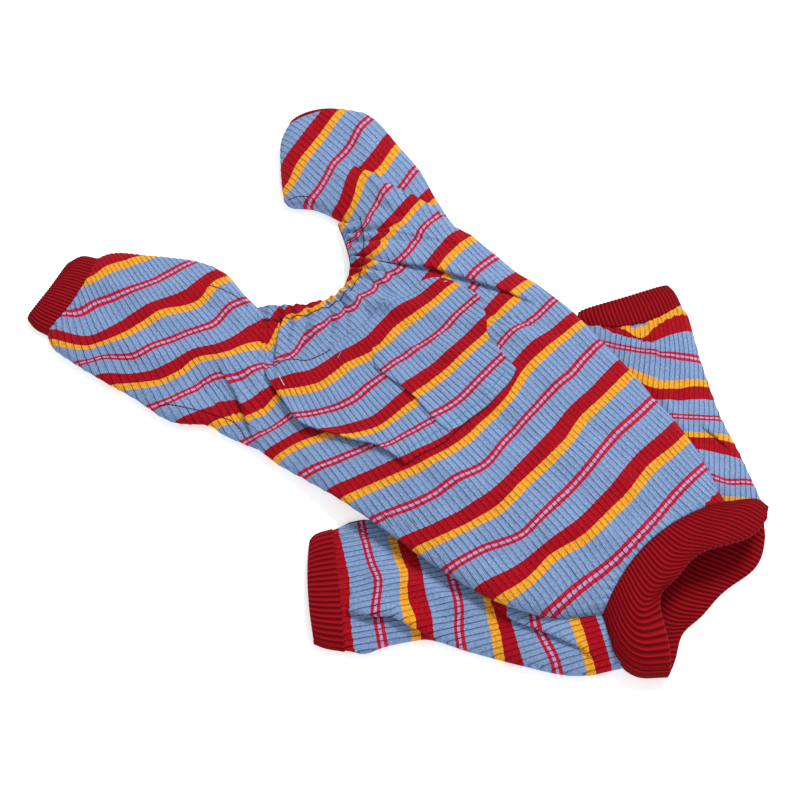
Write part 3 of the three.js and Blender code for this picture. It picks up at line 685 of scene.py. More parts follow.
class Lap(Line):
    """Cloth folded over itself along a line: the upper side overhangs the lower."""

    def __init__(self, shape, plan):
        line, self.side, self.height, self.reach, self.shift, self.far = shape
        super().__init__(line, plan)

    def beside(self, plan):
        """The plan, with what lies on the line moved just off it, so that the edge is clean."""
        away, toward, fade = self.away(plan)
        move = np.where(np.abs(away) < LAP_EDGE, np.sign(away) * LAP_EDGE - away, 0) * (fade > 0.05)
        return plan + toward * move[..., None]

    def overhang(self, plan):
        away, toward, fade = self.away(plan)
        move = np.where(away > 0, LAP_OVERHANG * np.exp(-np.maximum(away - LAP_EDGE, 0) / LAP_FADE), 0)
        return -toward * (move * fade * np.minimum(self.height / 3, 1))[..., None]

    def lift(self, plan):
        away, _, fade = self.away(plan)
        rounded = 1 - LAP_DROP * np.exp(-np.maximum(away - LAP_EDGE, 0) / LAP_ROLL)
        upper = np.where(away > 0, np.exp(-np.maximum(away, 0) / self.reach) * rounded, 0)
        groove = np.where(away > 0, 0, np.exp(np.minimum(away, 0) / LAP_FADE))
        return fade * self.height * (upper - LAP_GROOVE * groove)

    def slide(self, plan):
        """How far the stripes of the upper side are moved."""
        away, _, fade = self.away(plan)
        return self.shift * fade * np.where(away > 0, np.exp(-np.maximum(away, 0) / self.far), 0)


class Wrinkle(Line):
    """A soft ridge or hollow along a line."""

    def __init__(self, shape, plan):
        line, self.height, self.width = shape
        super().__init__(line, plan)

    def lift(self, plan):
        away, _, fade = self.away(plan)
        return self.height * fade * np.exp(-((away / self.width) ** 2))


class Fabric:
    """Stripes and ribs over a plan, from tables of marks, with the laps that interrupt them."""

    def __init__(self, tables, plan, low, high, laps=(), wrinkles=()):
        self.laps = [Lap(shape, plan) for shape in laps]
        self.wrinkles = [Wrinkle(shape, plan) for shape in wrinkles]
        found = [
            (plan(aside, ahead), number * STRIPE_PERIOD)
            for asides, table in tables
            for number, aheads in table
            for aside, ahead in zip(asides, aheads)
            if ahead is not None
        ]
        points = np.array([point for point, _ in found])
        values = np.array([value for _, value in found]) - self.slide(points)
        self.field = Field(points, values)
        self.ribs = Ribs(self.field, low, high)

    def slide(self, plan):
        return sum((lap.slide(plan) for lap in self.laps), np.zeros(plan.shape[:-1]))

    def stripes(self, plan):
        return self.field(plan) + self.slide(plan)

    def beside(self, plan):
        for lap in self.laps:
            plan = lap.beside(plan)
        return plan

    def overhang(self, plan):
        return sum((lap.overhang(plan) for lap in self.laps), np.zeros(plan.shape))

    def lift(self, plan):
        """Height of the laps, wrinkles and swells over the plan."""
        u, v = self.ribs(plan), self.field(plan)
        shapes = self.laps + self.wrinkles
        height = sum((shape.lift(plan) for shape in shapes), np.zeros(plan.shape[:-1]))
        scaled = plan / SWELL_LENGTH
        swell = smooth_noise(scaled[..., 0], scaled[..., 1], SWELL_SLICE / SWELL_LENGTH)
        crumple = smooth_noise(u / CRUMPLE_ACROSS, v / CRUMPLE_ALONG, CRUMPLE_SLICE)
        return height + SWELL_HEIGHT * swell + CRUMPLE_HEIGHT * crumple


def smooth_noise(x, y, slice_at):
    flat = zip(x.ravel().tolist(), y.ravel().tolist())
    return np.array([noise.noise(Vector((a, b, slice_at))) for a, b in flat]).reshape(x.shape)


body_fabric = Fabric(
    (
        (BODY_ASIDES, BODY_MARKS),
        (LEFT_SLEEVE_ASIDES, LEFT_SLEEVE_MARKS),
        (RIGHT_SLEEVE_ASIDES, RIGHT_SLEEVE_MARKS),
    ),
    body_plan, (-180, -250), (190, 290), BODY_LAPS, BODY_WRINKLES,
)
pocket_fabric = Fabric(
    ((POCKET_ASIDES, POCKET_MARKS),), body_plan, (-100, -80), (110, 100), POCKET_LAPS,
)
left_leg_fabric = Fabric(
    ((LEFT_LEG_ASIDES, LEFT_LEG_MARKS),), left_leg.plan, (-200, -270), (0, -20), LEFT_LEG_LAPS,
)
right_leg_fabric = Fabric(
    ((RIGHT_LEG_ASIDES, RIGHT_LEG_MARKS),), right_leg.plan, (20, -270), (210, -60), RIGHT_LEG_LAPS,
)


# Surfaces


def soft_max(a, b):
    """The larger of two heights, with the crease between them filled."""
    near = np.maximum(JOIN_BLEND - np.abs(a - b), 0) / JOIN_BLEND
    return np.maximum(a, b) + near * near * JOIN_BLEND / 4


def grid_faces(rows, columns, closed):
    """Quads of a grid of points, whose columns may close into a ring."""
    i = np.arange(rows - 1)[:, None]
    j = np.arange(columns if closed else columns - 1)[None]
    after = (j + 1) % columns
    corners = (i * columns + j, i * columns + after, (i + 1) * columns + after, (i + 1) * columns + j)
    return np.stack([np.broadcast_to(c, np.broadcast_shapes(i.shape, j.shape)) for c in corners], -1)


class Top:
    """Height of the upper side of a limb over the floor plan."""

    def __init__(self, limb, rows=120, columns=90):
        place = np.linspace(0, limb.last, rows)[:, None]
        turn = even_turns(limb, columns, 1)[:columns]
        points = limb.ring(place, np.r_[turn, np.pi][None])
        faces = grid_faces(rows, columns + 1, False).reshape(-1, 4)
        self.tree = BVHTree.FromPolygons(points.reshape(-1, 3).tolist(), faces.tolist())

    def __call__(self, points):
        """Heights at points, or far below the floor where the limb doesn't lie."""
        down = Vector((0, 0, -1))
        flat = points.reshape(-1, points.shape[-1])
        heights = np.full(len(flat), NOWHERE)
        for k, point in enumerate(flat):
            hit = self.tree.ray_cast(Vector((point[0], point[1], 200)), down)
            if hit[0] is not None:
                heights[k] = hit[0].z
        return heights.reshape(points.shape[:-1])


def even_turns(limb, over, under):
    """Turns at even distances round the limb's middle section, over its top and back under."""
    found = []
    for first, count in ((0, over), (np.pi, under)):
        turn = np.linspace(first, first + np.pi, 2000)
        ring = limb.ring(limb.last * 0.5, turn)
        arc = lengths(ring)
        found.append(np.interp(np.arange(count) / count * arc[-1], arc, turn))
    return np.concatenate(found)


def grid_normals(points):
    """Outward unit normals of a ring grid."""
    along = np.gradient(points, axis=0)
    around = np.roll(points, -1, 1) - np.roll(points, 1, 1)
    normal = np.cross(along, around)
    length = np.linalg.norm(normal, axis=-1, keepdims=True)
    return normal / np.maximum(length, 1e-9)


def round_the_walls(points, over):
    """How much longer the cloth is than its plan on the steep sides, away from the crown."""
    rise = np.abs(np.diff(points[..., 2], axis=1))
    run = np.linalg.norm(np.diff(points[..., :2], axis=1), axis=-1)
    steep = np.maximum(np.hypot(rise, run) - STEEP * run, 0)
    excess = np.cumsum(np.c_[np.zeros(len(points)), steep], 1)
    return excess - excess[:, over // 2][:, None]


def rib_profile(coordinate, pitch):
    """From 0 in the groove between two wide ribs to 1 on the crown of a rib."""
    return np.abs(np.sin(np.pi * coordinate / pitch)) ** RIB_SQUARENESS


def add_object(name, points, faces, material):
    """An object in metres, from points in millimetres."""
    mesh = bpy.data.meshes.new(name)
    mesh.from_pydata((points / 1000).tolist(), [], faces)
    mesh.polygons.foreach_set("use_smooth", np.ones(len(faces), bool))
    mesh.materials.append(material)
    made = bpy.data.objects.new(name, mesh)
    scene.collection.objects.link(made)
    return made


def add_cloth(name, points, faces, fabric, material):
    """An object of quads, with its fabric coordinates on its points."""
    made = add_object(name, points, faces.tolist(), material)
    attribute = made.data.attributes.new("fabric", "FLOAT_VECTOR", "POINT")
    attribute.data.foreach_set("vector", fabric.astype(np.float32).ravel())
    return made


def cloth_tube(name, outer, inner, fabric, material):
    """A closed cloth wall: an outer ring grid, a coarser inner one, and rounded rims between them."""
    rows, columns = outer.shape[:2]
    inner_rows = inner.shape[0]
    rims = []
    for end, before in ((-1, -2), (0, 1)):
        ahead = outer[end] - outer[before]
        ahead /= np.maximum(np.linalg.norm(ahead, axis=1, keepdims=True), 1e-6)
        rims.append((outer[end] + inner[end]) / 2 + ahead * RIM_ROUND)
    points = np.concatenate((outer, rims[0][None], inner[::-1], rims[1][None]))
    last = fabric[-1][None]
    pick = np.round(np.linspace(rows - 1, 0, inner_rows)).astype(int)
    coordinates = np.concatenate((fabric, last, fabric[pick], fabric[0][None]))
    total = len(points)
    faces = grid_faces(total, columns, True).reshape(-1, 4)
    j = np.arange(columns)
    after = (j + 1) % columns
    closing = np.stack(((total - 1) * columns + j, (total - 1) * columns + after, after, j), -1)
    faces = np.concatenate((faces, closing))
    return add_cloth(name, points.reshape(-1, 3), faces, coordinates.reshape(-1, 3), material)


def waves(limb, outer, turn, seam, gathers):
    """Gathers that run back from a seam."""
    height, reach, pitch = gathers
    edge = limb.ring(np.full(len(turn), float(seam)), turn)
    away = np.linalg.norm(outer - edge[None], axis=-1)
    arc = lengths(edge)[None]
    # No two gathers are alike in spacing or height
    phase = 2 * np.pi * arc / pitch + 1.4 * np.sin(arc / 13) + 0.9 * np.sin(arc / 5.1 + 1)
    strength = 0.88 + 0.12 * np.sin(arc / 21 + 2)
    pleat = 2 * np.abs(np.cos(phase / 2)) - 1
    return height * strength * pleat * np.exp(-((away / reach) ** 2))


def from_torso_sides(plan):
    """Distance in plan from the torso's two side edges."""
    edges = torso.ring(np.linspace(0, torso.last, 90)[:, None], np.array((0.0, np.pi))[None])[..., :2]
    away = np.full(plan.shape[:-1], 1e9)
    for point in edges.reshape(-1, 2):
        away = np.minimum(away, np.linalg.norm(plan - point, axis=-1))
    return away


def knit_tube(name, limb, fabric, material, over, under, rows, first=0.0, last=None, joins=(),
              dives=False, wall=KNIT_WALL, inner_rows=30, grow=0.0, gathers=(), shape=None):
    """The striped cloth of a limb, with its folds and ribs, run together with the tops it joins."""
    last = limb.last if last is None else last
    turn = even_turns(limb, over, under)
    places = np.linspace(first, last, rows)
    outer = limb.ring(places[:, None], turn[None], grow)
    outer[:, 1:over, :2] = fabric.beside(outer[:, 1:over, :2])
    plan = outer[..., :2].copy()
    crest = np.clip(np.sin(turn) * 3, 0, 1)[None] * np.ones((rows, 1))
    joined = np.zeros(outer.shape[:2])
    upper = slice(0, over + 1)
    for join in joins:
        other = join(outer[:, upper])
        own = outer[:, upper, 2]
        inside = other > NOWHERE / 2
        met = np.clip((other - own + JOIN_BLEND) / JOIN_BLEND, 0, 1)
        joined[:, upper] = np.maximum(joined[:, upper], np.where(inside, met, 0))
        outer[:, upper, 2] = np.where(inside, soft_max(own, other), own)
    crest = np.maximum(crest, joined)
    excess = round_the_walls(outer, over)
    if joins:
        inward = np.exp(-from_torso_sides(plan) / DIVE_FADE)
        own_shift = BODY_STANDS - BODY_DIVES * inward if dives else -SLEEVE_SINKS * (1 - inward)
        outer[..., 2] += joined * own_shift
    if shape is not None:
        outer = shape(outer, places, turn)
    outer[..., 2] += crest * np.maximum(fabric.lift(plan), -0.4 * (outer[..., 2] - 2))
    gathered = np.zeros(outer.shape[:2])
    for seam, gather in gathers:
        gathered += crest * waves(limb, outer, turn, seam, gather)
    outer[..., 2] += gathered
    outer[..., :2] += fabric.overhang(plan) * (crest * (turn[None] < np.pi))[..., None]
    side = np.ones(len(turn))
    side[over + 1:] = 0
    u = fabric.ribs(plan) + excess * side[None] * (1 - joined)
    v = fabric.stripes(plan) + gathered * GATHER_SLIDE
    relief = (rib_profile(u, RIB_PITCH) - 1) * RIB_HEIGHT * side[None]
    moved = outer + grid_normals(outer) * relief[..., None]
    moved[..., 2] = np.maximum(moved[..., 2], FLOOR_CLEAR)
    inner = limb.ring(np.linspace(first, last, inner_rows)[:, None], turn[None], grow - wall)
    coordinates = np.stack((u, v, np.zeros_like(u)), -1)
    return cloth_tube(name, moved, inner, coordinates, material)


def rib_tube(name, limb, material, pitch, rows, height, first=0.0, last=None, grow=0.0,
             wall=RIB_WALL, shape=None):
    """A tube of two-by-two rib, whose ribs run along it."""
    last = limb.last if last is None else last
    turn = np.linspace(0, 2 * np.pi, 4000)
    middle = limb.ring((first + last) / 2, turn, grow)
    arc = lengths(middle)
    count = int(round(arc[-1] / pitch))
    columns = count * RIB_COLUMNS
    around = np.arange(columns) / columns
    turn = np.interp(around * arc[-1], arc, turn)
    places = np.linspace(first, last, rows)
    outer = limb.ring(places[:, None], turn[None], grow)
    inner_places = np.linspace(first, last, max(6, rows // 2))
    inner = limb.ring(inner_places[:, None], turn[None], grow - wall)
    if shape is not None:
        outer = shape(outer, places / limb.last, turn)
        inner = shape(inner, inner_places / limb.last, turn)
    wave = np.clip(1.3 * np.cos(2 * np.pi * count * around), -1, 1)
    moved = outer + grid_normals(outer) * ((wave - 1) / 2 * height)[None, :, None]
    moved[..., 2] = np.maximum(moved[..., 2], FLOOR_CLEAR)
    inner = inner + grid_normals(inner) * ((1 + wave) / 2 * height)[None, :, None]
    along = smooth_at(limb.columns["at"], places)[:, None]
    u = np.broadcast_to(around * count, outer.shape[:2])
    v = np.broadcast_to(along, outer.shape[:2])
    fabric = np.stack((u, v, np.zeros(outer.shape[:2])), -1)
    return cloth_tube(name, moved, inner, fabric, material)


# Materials


class Nodes:
    """Short calls for building a node material."""

    def __init__(self, name):
        self.material = bpy.data.materials.new(name)
        self.material.use_nodes = True
        self.tree = self.material.node_tree
        self.tree.nodes.clear()
        self.shader = self.add("ShaderNodeBsdfPrincipled")
        out = self.add("ShaderNodeOutputMaterial")
        self.link(self.shader.outputs["BSDF"], out.inputs["Surface"])

    def add(self, kind, inputs=(), **settings):
        node = self.tree.nodes.new(kind)
        for key, value in settings.items():
            setattr(node, key, value)
        for key, value in inputs:
            self.feed(node.inputs[key], value)
        return node

    def link(self, a, b):
        self.tree.links.new(a, b)

    def feed(self, socket, value):
        if isinstance(value, bpy.types.NodeSocket):
            self.link(value, socket)
        else:
            socket.default_value = value

    def math(self, operation, *values):
        return self.add("ShaderNodeMath", enumerate(values), operation=operation).outputs[0]

    def noise(self, vector, scale, detail):
        inputs = (("Vector", vector), ("Scale", scale), ("Detail", detail))
        return self.add("ShaderNodeTexNoise", inputs).outputs["Fac"]

    def mix(self, share, a, b, blend="MIX"):
        a, b = (c if isinstance(c, bpy.types.NodeSocket) else (*c, 1) for c in (a, b))
        inputs = ((0, share), (6, a), (7, b))
        return self.add("ShaderNodeMix", inputs, data_type="RGBA", blend_type=blend).outputs[2]

    def fade(self, value, low, high):
        """0 below low, 1 above high, smooth between them."""
        inputs = (("Value", value), ("From Min", low), ("From Max", high))
        node = self.add("ShaderNodeMapRange", inputs, interpolation_type="SMOOTHSTEP")
        return node.outputs["Result"]

    def bump(self, height, distance, strength):
        inputs = (("Distance", distance), ("Strength", strength), ("Height", height))
        self.link(self.add("ShaderNodeBump", inputs).outputs["Normal"], self.shader.inputs["Normal"])

    def fabric(self):
        """The coordinate across the ribs and the one along the stripes' period."""
        read = self.add("ShaderNodeAttribute", attribute_name="fabric")
        split = self.add("ShaderNodeSeparateXYZ", ((0, read.outputs["Vector"]),))
        return split.outputs["X"], split.outputs["Y"]

    def place(self):
        return self.add("ShaderNodeTexCoord").outputs["Object"]

    def finish(self, color, roughness, sheen, tint):
        for key, value in (
            ("Base Color", color), ("Roughness", roughness), ("Sheen Weight", sheen),
            ("Sheen Roughness", 0.5), ("Sheen Tint", (*tint, 1)), ("Specular IOR Level", 0.06),
        ):
            self.feed(self.shader.inputs[key], value)
        return self.material


def striped_knit():
    """Wide-rib jersey: yarn-dyed stripes, heathered yarn, and painted shade that darkens the grooves
    between rounded ribs.
    """
    n = Nodes("striped_knit")
    u, v = n.fabric()
    place = n.place()
    stretched = ((0, n.math("MULTIPLY", u, 1.1)), (1, n.math("MULTIPLY", v, 0.5)))
    wale = n.add("ShaderNodeCombineXYZ", stretched)
    streak = n.noise(wale.outputs[0], 1.0, 3.0)
    cloudy = n.noise(place, 90.0, 2.0)
    wobble = n.math("MULTIPLY", n.math("SUBTRACT", n.noise(place, 700.0, 2.0), 0.5), 1.3)
    share = n.math("FRACT", n.math("DIVIDE", n.math("ADD", v, wobble), STRIPE_PERIOD))
    ramp = n.add("ShaderNodeValToRGB")
    ramp.color_ramp.interpolation = "CONSTANT"
    stops = ramp.color_ramp.elements
    while len(stops) < len(STRIPES):
        stops.new(0.5)
    for stop, (start, yarn) in zip(stops, STRIPES):
        stop.position = start / STRIPE_PERIOD
        stop.color = (*YARNS[yarn], 1)
    n.link(share, ramp.inputs["Fac"])
    drift = n.math("MULTIPLY", n.math("SUBTRACT", n.noise(place, 240.0, 2.0), 0.5), 0.22)
    ribs = n.math("FRACT", n.math("ADD", n.math("DIVIDE", u, RIB_PITCH), drift))
    groove = n.math("ABSOLUTE", n.math("SUBTRACT", ribs, 0.5))
    gap_starts, gap_ends = STRIPES[3][0] / STRIPE_PERIOD, STRIPES[4][0] / STRIPE_PERIOD
    past_start = n.math("GREATER_THAN", share, gap_starts)
    in_gap = n.math("MULTIPLY", past_start, n.math("LESS_THAN", share, gap_ends))
    tied = n.math("MULTIPLY", in_gap, n.math("GREATER_THAN", groove, 0.41))
    color = n.mix(tied, ramp.outputs["Color"], YARNS["thin_red"])
    heather = n.mix(n.fade(streak, 0.36, 0.64), (0.8, 0.81, 0.98), (1.19, 1.19, 1.03))
    color = n.mix(1.0, color, heather, "MULTIPLY")
    color = n.mix(1.0, color, n.mix(cloudy, (0.9, 0.9, 0.9), (1.1, 1.1, 1.1)), "MULTIPLY")
    # Painted shade: the colour darkens from each rib's crown towards the groove beside it
    painted_rib_shade = n.fade(groove, 0.1, 0.5)
    color = n.mix(n.math("MULTIPLY", painted_rib_shade, 0.2), color, (0.35, 0.35, 0.45), "MULTIPLY")
    # Painted shade: a dark line along the middle of each groove, its strength varied by noise; the same
    # line also dips the bump
    line = n.fade(groove, 0.4, 0.48)
    depth = n.math("MULTIPLY_ADD", n.fade(n.noise(place, 55.0, 2.0), 0.35, 0.65), 0.5, 0.32)
    color = n.mix(n.math("MULTIPLY", line, depth), color, (0.14, 0.12, 0.22), "MULTIPLY")
    columns = n.math("SINE", n.math("MULTIPLY", u, 2 * np.pi * 4 / RIB_PITCH))
    rows = n.math("SINE", n.math("MULTIPLY", v, 2 * np.pi / 0.95))
    stitch = n.math("MULTIPLY", n.math("ADD", columns, n.math("MULTIPLY", rows, 0.6)), 0.15)
    height = n.math("SUBTRACT", n.math("ADD", stitch, n.math("MULTIPLY", streak, 0.5)), line)
    n.bump(height, 0.0005, 0.9)
    return n.finish(color, 0.9, 0.04, (0.8, 0.85, 1.0))


def crimson_rib(name, bright, dark):
    """Two-by-two rib in one crimson yarn, with painted shade in the valleys: bright is the yarn's lit
    colour, dark its painted shade.
    """
    n = Nodes(name)
    u, v = n.fabric()
    place = n.place()
    painted_valley_shade = n.math("MULTIPLY_ADD", n.math("COSINE", n.math("MULTIPLY", u, 2 * np.pi)), -0.5, 0.5)
    fleck = n.noise(place, 1400.0, 2.0)
    cloudy = n.noise(place, 60.0, 2.0)
    # Painted shade: the colour goes from the lit crimson on the ribs to the darker one in the valleys
    color = n.mix(n.fade(painted_valley_shade, 0.3, 0.9), bright, dark)
    color = n.mix(1.0, color, n.mix(fleck, (0.8, 0.8, 0.8), (1.2, 1.2, 1.2)), "MULTIPLY")
    color = n.mix(1.0, color, n.mix(cloudy, (0.88, 0.88, 0.88), (1.12, 1.12, 1.12)), "MULTIPLY")
    loops = n.math("SINE", n.math("MULTIPLY", v, 2 * np.pi / 0.9))
    n.bump(n.math("ADD", n.math("MULTIPLY", loops, 0.2), n.math("MULTIPLY", fleck, 0.6)), 0.0004, 0.7)
    return n.finish(color, 0.88, 0.04, (1.0, 0.5, 0.5))


def thread(name, tone):
    n = Nodes(name)
    twist = n.noise(n.place(), 2500.0, 1.0)
    color = n.mix(twist, tuple(0.8 * c for c in tone), tuple(1.2 * c for c in tone))
    return n.finish(color, 0.7, 0.05, (1, 1, 1))


def plain_floor():
    n = Nodes("pale_floor")
    n.shader.inputs["Emission Color"].default_value = (1, 1, 1, 1)
    n.shader.inputs["Emission Strength"].default_value = 0.45
    grain = n.noise(n.place(), 6.0, 2.0)
    return n.finish(n.mix(grain, (0.93, 0.93, 0.93), (0.95, 0.95, 0.95)), 0.9, 0.0, (1, 1, 1))


knit = striped_knit()
# The second colour of each is the painted shade in the rib valleys
rib_front = crimson_rib("crimson_rib_front", (0.34, 0.0045, 0.011), (0.09, 0.0015, 0.004))
rib_band = crimson_rib("crimson_rib_band", (0.31, 0.0035, 0.009), (0.1, 0.0012, 0.0035))

# The pieces

over_torso = Top(torso)
over_left_sleeve = Top(left_sleeve)
over_right_sleeve = Top(right_sleeve)
torso_end = torso.last - torso.rows_over(CASING_DEPTH + SEAM_GAP)


def band_rim(points, share, turn):
    """The band's mouth: its rim is full towards the right end and drawn in towards the left."""
    across = across_at(turn)
    full, drawn = (np.exp(-(((across - rim[0]) / rim[1]) ** 2)) for rim in (RIM_FULL, RIM_DRAWN))
    full *= np.clip((1 - np.abs(across)) * 6, 0, 1) ** 0.5
    over, under = (RIM_DRAWN[k] * drawn - RIM_FULL[k] * full for k in (2, 3))
    pull = np.where(np.sin(turn) >= 0, over, under)
    points = points.copy()
    points[..., 1] += pull[None] * share[:, None] ** 2
    return points


def neck_end(points, places, turn):
    """The left end of the neckline runs out into the sleeve's edge and sinks under its cloth."""
    around = np.minimum(turn, 2 * np.pi - turn)
    near = np.exp(-(((torso.last - places) / NECK_END_ROWS) ** 2))
    share = np.exp(-((around / NECK_END_AROUND) ** 2))[None] * near[:, None]
    points = points.copy()
    points[..., 0] -= NECK_END_SHIFT * share
    points[..., 1] += NECK_END_SHIFT * share
    sink = np.where(np.sin(turn)[None] > 0, NECK_END_SINK * share, 0)
    points[..., 2] -= sink * (points[..., 2] > NECK_END_CLEAR)
    return points


pieces = {}
pieces["torso"] = knit_tube(
    "body_cloth", torso, body_fabric, knit, over=300, under=56, rows=170, last=torso_end,
    joins=(over_left_sleeve, over_right_sleeve), dives=True, shape=neck_end,
    gathers=((torso.last, BROAD_GATHERS), (torso.last, FINE_GATHERS), (0, PUCKERS)),
)
pieces["front_left_sleeve"] = knit_tube(
    "front_left_sleeve_cloth", left_sleeve, body_fabric, knit, over=150, under=30, rows=100,
    joins=(over_torso,), gathers=((left_sleeve.last, PUCKERS),),
)
pieces["front_right_sleeve"] = knit_tube(
    "front_right_sleeve_cloth", right_sleeve, body_fabric, knit, over=140, under=30, rows=90,
    joins=(over_torso,),
)
pieces["hind_left_leg"] = knit_tube(
    "hind_left_leg_cloth", left_leg, left_leg_fabric, knit, over=130, under=30, rows=110,
    gathers=((left_leg.last, PUCKERS),),
)
pieces["hind_right_leg"] = knit_tube(
    "hind_right_leg_cloth", right_leg, right_leg_fabric, knit, over=130, under=30, rows=90,
    gathers=((right_leg.last, PUCKERS),),
)
pieces["neck_casing"] = knit_tube(
    "neck_casing_cloth", torso, body_fabric, knit, over=300, under=56, rows=14,
    first=torso.last - torso.rows_over(CASING_DEPTH), joins=(over_left_sleeve, over_right_sleeve),
    dives=True, wall=CASING_WALL, inner_rows=6, grow=CASING_RISE, shape=neck_end,
    gathers=((torso.last, BROAD_GATHERS), (torso.last, FINE_GATHERS)),
)
pieces["front_left_cuff"] = rib_tube(
    "front_left_cuff_rib", cuff_of(left_sleeve, LEFT_SLEEVE_CUFF_ROWS, FRONT_CUFF_DEPTH), rib_front,
    pitch=2.8, rows=16, height=0.7,
)
pieces["front_right_cuff"] = rib_tube(
    "front_right_cuff_rib", right_sleeve, rib_front, pitch=2.8, rows=16, height=0.5,
    first=right_sleeve.last - 2, last=right_sleeve.last + right_sleeve.rows_over(TUCKED_RIM),
    grow=-KNIT_WALL - SEAM_GAP,
)
pieces["hind_left_cuff"] = rib_tube(
    "hind_left_cuff_rib", cuff_of(left_leg, LEFT_LEG_CUFF_ROWS, HIND_CUFF_DEPTH), rib_band,
    pitch=3.9, rows=16, height=0.9,
)
pieces["hind_right_cuff"] = rib_tube(
    "hind_right_cuff_rib", cuff_of(right_leg, RIGHT_LEG_CUFF_ROWS, HIND_CUFF_DEPTH), rib_band,
    pitch=3.2, rows=16, height=0.8,
)
pieces["rear_band"] = rib_tube(
    "rear_band_rib", band, rib_band, pitch=4.0, rows=26, height=1.0, shape=band_rim,
)


def curve_at(line, share):
    """A point on a line of marks at a share of its length."""
    points = np.array([body_plan(*mark) for mark in line])
    reach = lengths(points)
    place = np.interp(np.asarray(share) * reach[-1], reach, np.arange(len(points)))
    return np.stack([smooth_at(points[:, axis], place) for axis in (0, 1)], -1)


def with_height(plan, height):
    return np.concatenate((plan, height[..., None]), -1)


def pocket_piece():
    """The patch on the body: a thin sheet over its top, its left edge curled up."""
    s = np.linspace(0, 1, 210)
    t = np.linspace(0, 1, 100)
    top, bottom = curve_at(POCKET_TOP, s), curve_at(POCKET_BOTTOM, s)
    left, right = curve_at(POCKET_LEFT, t), curve_at(POCKET_RIGHT, t)
    S, T = s[None, :, None], t[:, None, None]
    plan = (1 - T) * top[None] + T * bottom[None] + (1 - S) * left[:, None] + S * right[:, None]
    plan -= (
        (1 - S) * (1 - T) * top[0] + S * (1 - T) * top[-1] + (1 - S) * T * bottom[0] + S * T * bottom[-1]
    )
    plan[1:-1, 1:-1] = pocket_fabric.beside(plan[1:-1, 1:-1])
    lies_on = np.maximum(over_torso(plan), 0)
    for other in (over_left_sleeve, over_right_sleeve):
        lies_on = soft_max(lies_on, other(plan))
    scaled = plan / POCKET_SWELL_LENGTH
    swell = smooth_noise(scaled[..., 0], scaled[..., 1], POCKET_SWELL_SLICE)
    lies_on += np.maximum(body_fabric.lift(plan), -1) + POCKET_SWELL * swell
    from_left = S[..., 0] * POCKET_ACROSS / POCKET_CURL_REACH
    curl = POCKET_CURL * np.exp(-(from_left**2)) * np.sin(np.pi * T[..., 0]) ** 0.5
    inside = np.clip(np.minimum(S[..., 0], 1 - S[..., 0]) * 12, 0, 1)
    curl = curl + np.maximum(sum(lap.lift(plan) for lap in pocket_fabric.laps), -0.3) * inside
    shown = plan + pocket_fabric.overhang(plan) * inside[..., None]
    u, v = pocket_fabric.ribs(plan), pocket_fabric.stripes(plan)
    relief = (rib_profile(u, RIB_PITCH) - 1) * RIB_HEIGHT
    edge_share, rest, steepness = POCKET_EDGE_WALL
    wall = POCKET_WALL * (edge_share + rest * np.clip(T[..., 0] * steepness, 0, 1))
    upper = with_height(shown, lies_on + POCKET_ABOVE + wall + curl + relief)
    lower = with_height(plan, lies_on + POCKET_UNDERSIDE + curl)
    rows, columns = upper.shape[:2]
    count = rows * columns
    faces = grid_faces(rows, columns, False).reshape(-1, 4)
    edge = np.r_[
        np.arange(columns), np.arange(1, rows) * columns + columns - 1,
        (rows - 1) * columns + np.arange(columns - 2, -1, -1), np.arange(rows - 2, 0, -1) * columns,
    ]
    after = np.roll(edge, -1)
    rim = np.stack((edge, after, after + count, edge + count), -1)
    faces = np.concatenate((faces[:, ::-1], faces + count, rim))
    fabric = np.stack((u, v, np.zeros_like(u)), -1).reshape(-1, 3)
    points = np.concatenate((upper.reshape(-1, 3), lower.reshape(-1, 3)))
    return add_cloth("pocket_cloth", points, faces, np.concatenate((fabric, fabric)), knit)


pieces["pocket"] = pocket_piece()


def surface(objects):
    """A tree of the upper surfaces, in metres, for laying threads on them."""
    points, faces = [], []
    for made in objects:
        start = len(points)
        points += [vertex.co.copy() for vertex in made.data.vertices]
        faces += [tuple(start + k for k in polygon.vertices) for polygon in made.data.polygons]
    return BVHTree.FromPolygons(points, faces)


def stitching(name, lines, on, material, radius=0.35, pitch=3.2, length=2.4):
    """Rows of short stitches laid on a surface: each a thin five-sided thread that dips at its ends."""
    points, faces = [], []
    for line in lines:
        reach = lengths(line)
        for start in np.arange(0, reach[-1] - length, pitch):
            stops = start + np.linspace(0, length, 5)
            path = np.stack([np.interp(stops, reach, line[:, axis]) for axis in (0, 1)], -1)
            ahead = path[-1] - path[0]
            ahead = ahead / np.linalg.norm(ahead)
            first = len(points)
            for k, (x, y) in enumerate(path):
                hit = on.ray_cast(Vector((x / 1000, y / 1000, 0.2)), Vector((0, 0, -1)))[0]
                ground = hit.z * 1000 if hit is not None else 0
                rise = (0.3, 0.8, 1.0, 0.8, 0.3)[k] * radius
                for turn in np.arange(5) / 5 * 2 * np.pi:
                    aside = np.cos(turn) * radius
                    above = ground + rise + np.sin(turn) * radius
                    points.append((x + ahead[1] * aside, y - ahead[0] * aside, above))
            for k in range(4):
                for j in range(5):
                    a, b = first + k * 5 + j, first + k * 5 + (j + 1) % 5
                    faces.append((a, b, b + 5, a + 5))
            faces.append((first, first + 1, first + 2, first + 3, first + 4))
            faces.append(tuple(first + 20 + j for j in (4, 3, 2, 1, 0)))
    made = add_object(name, np.array(points), faces, material)
    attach(made, "root")
    return made


def seam(line):
    return curve_at(line, np.linspace(0, 1, 40))


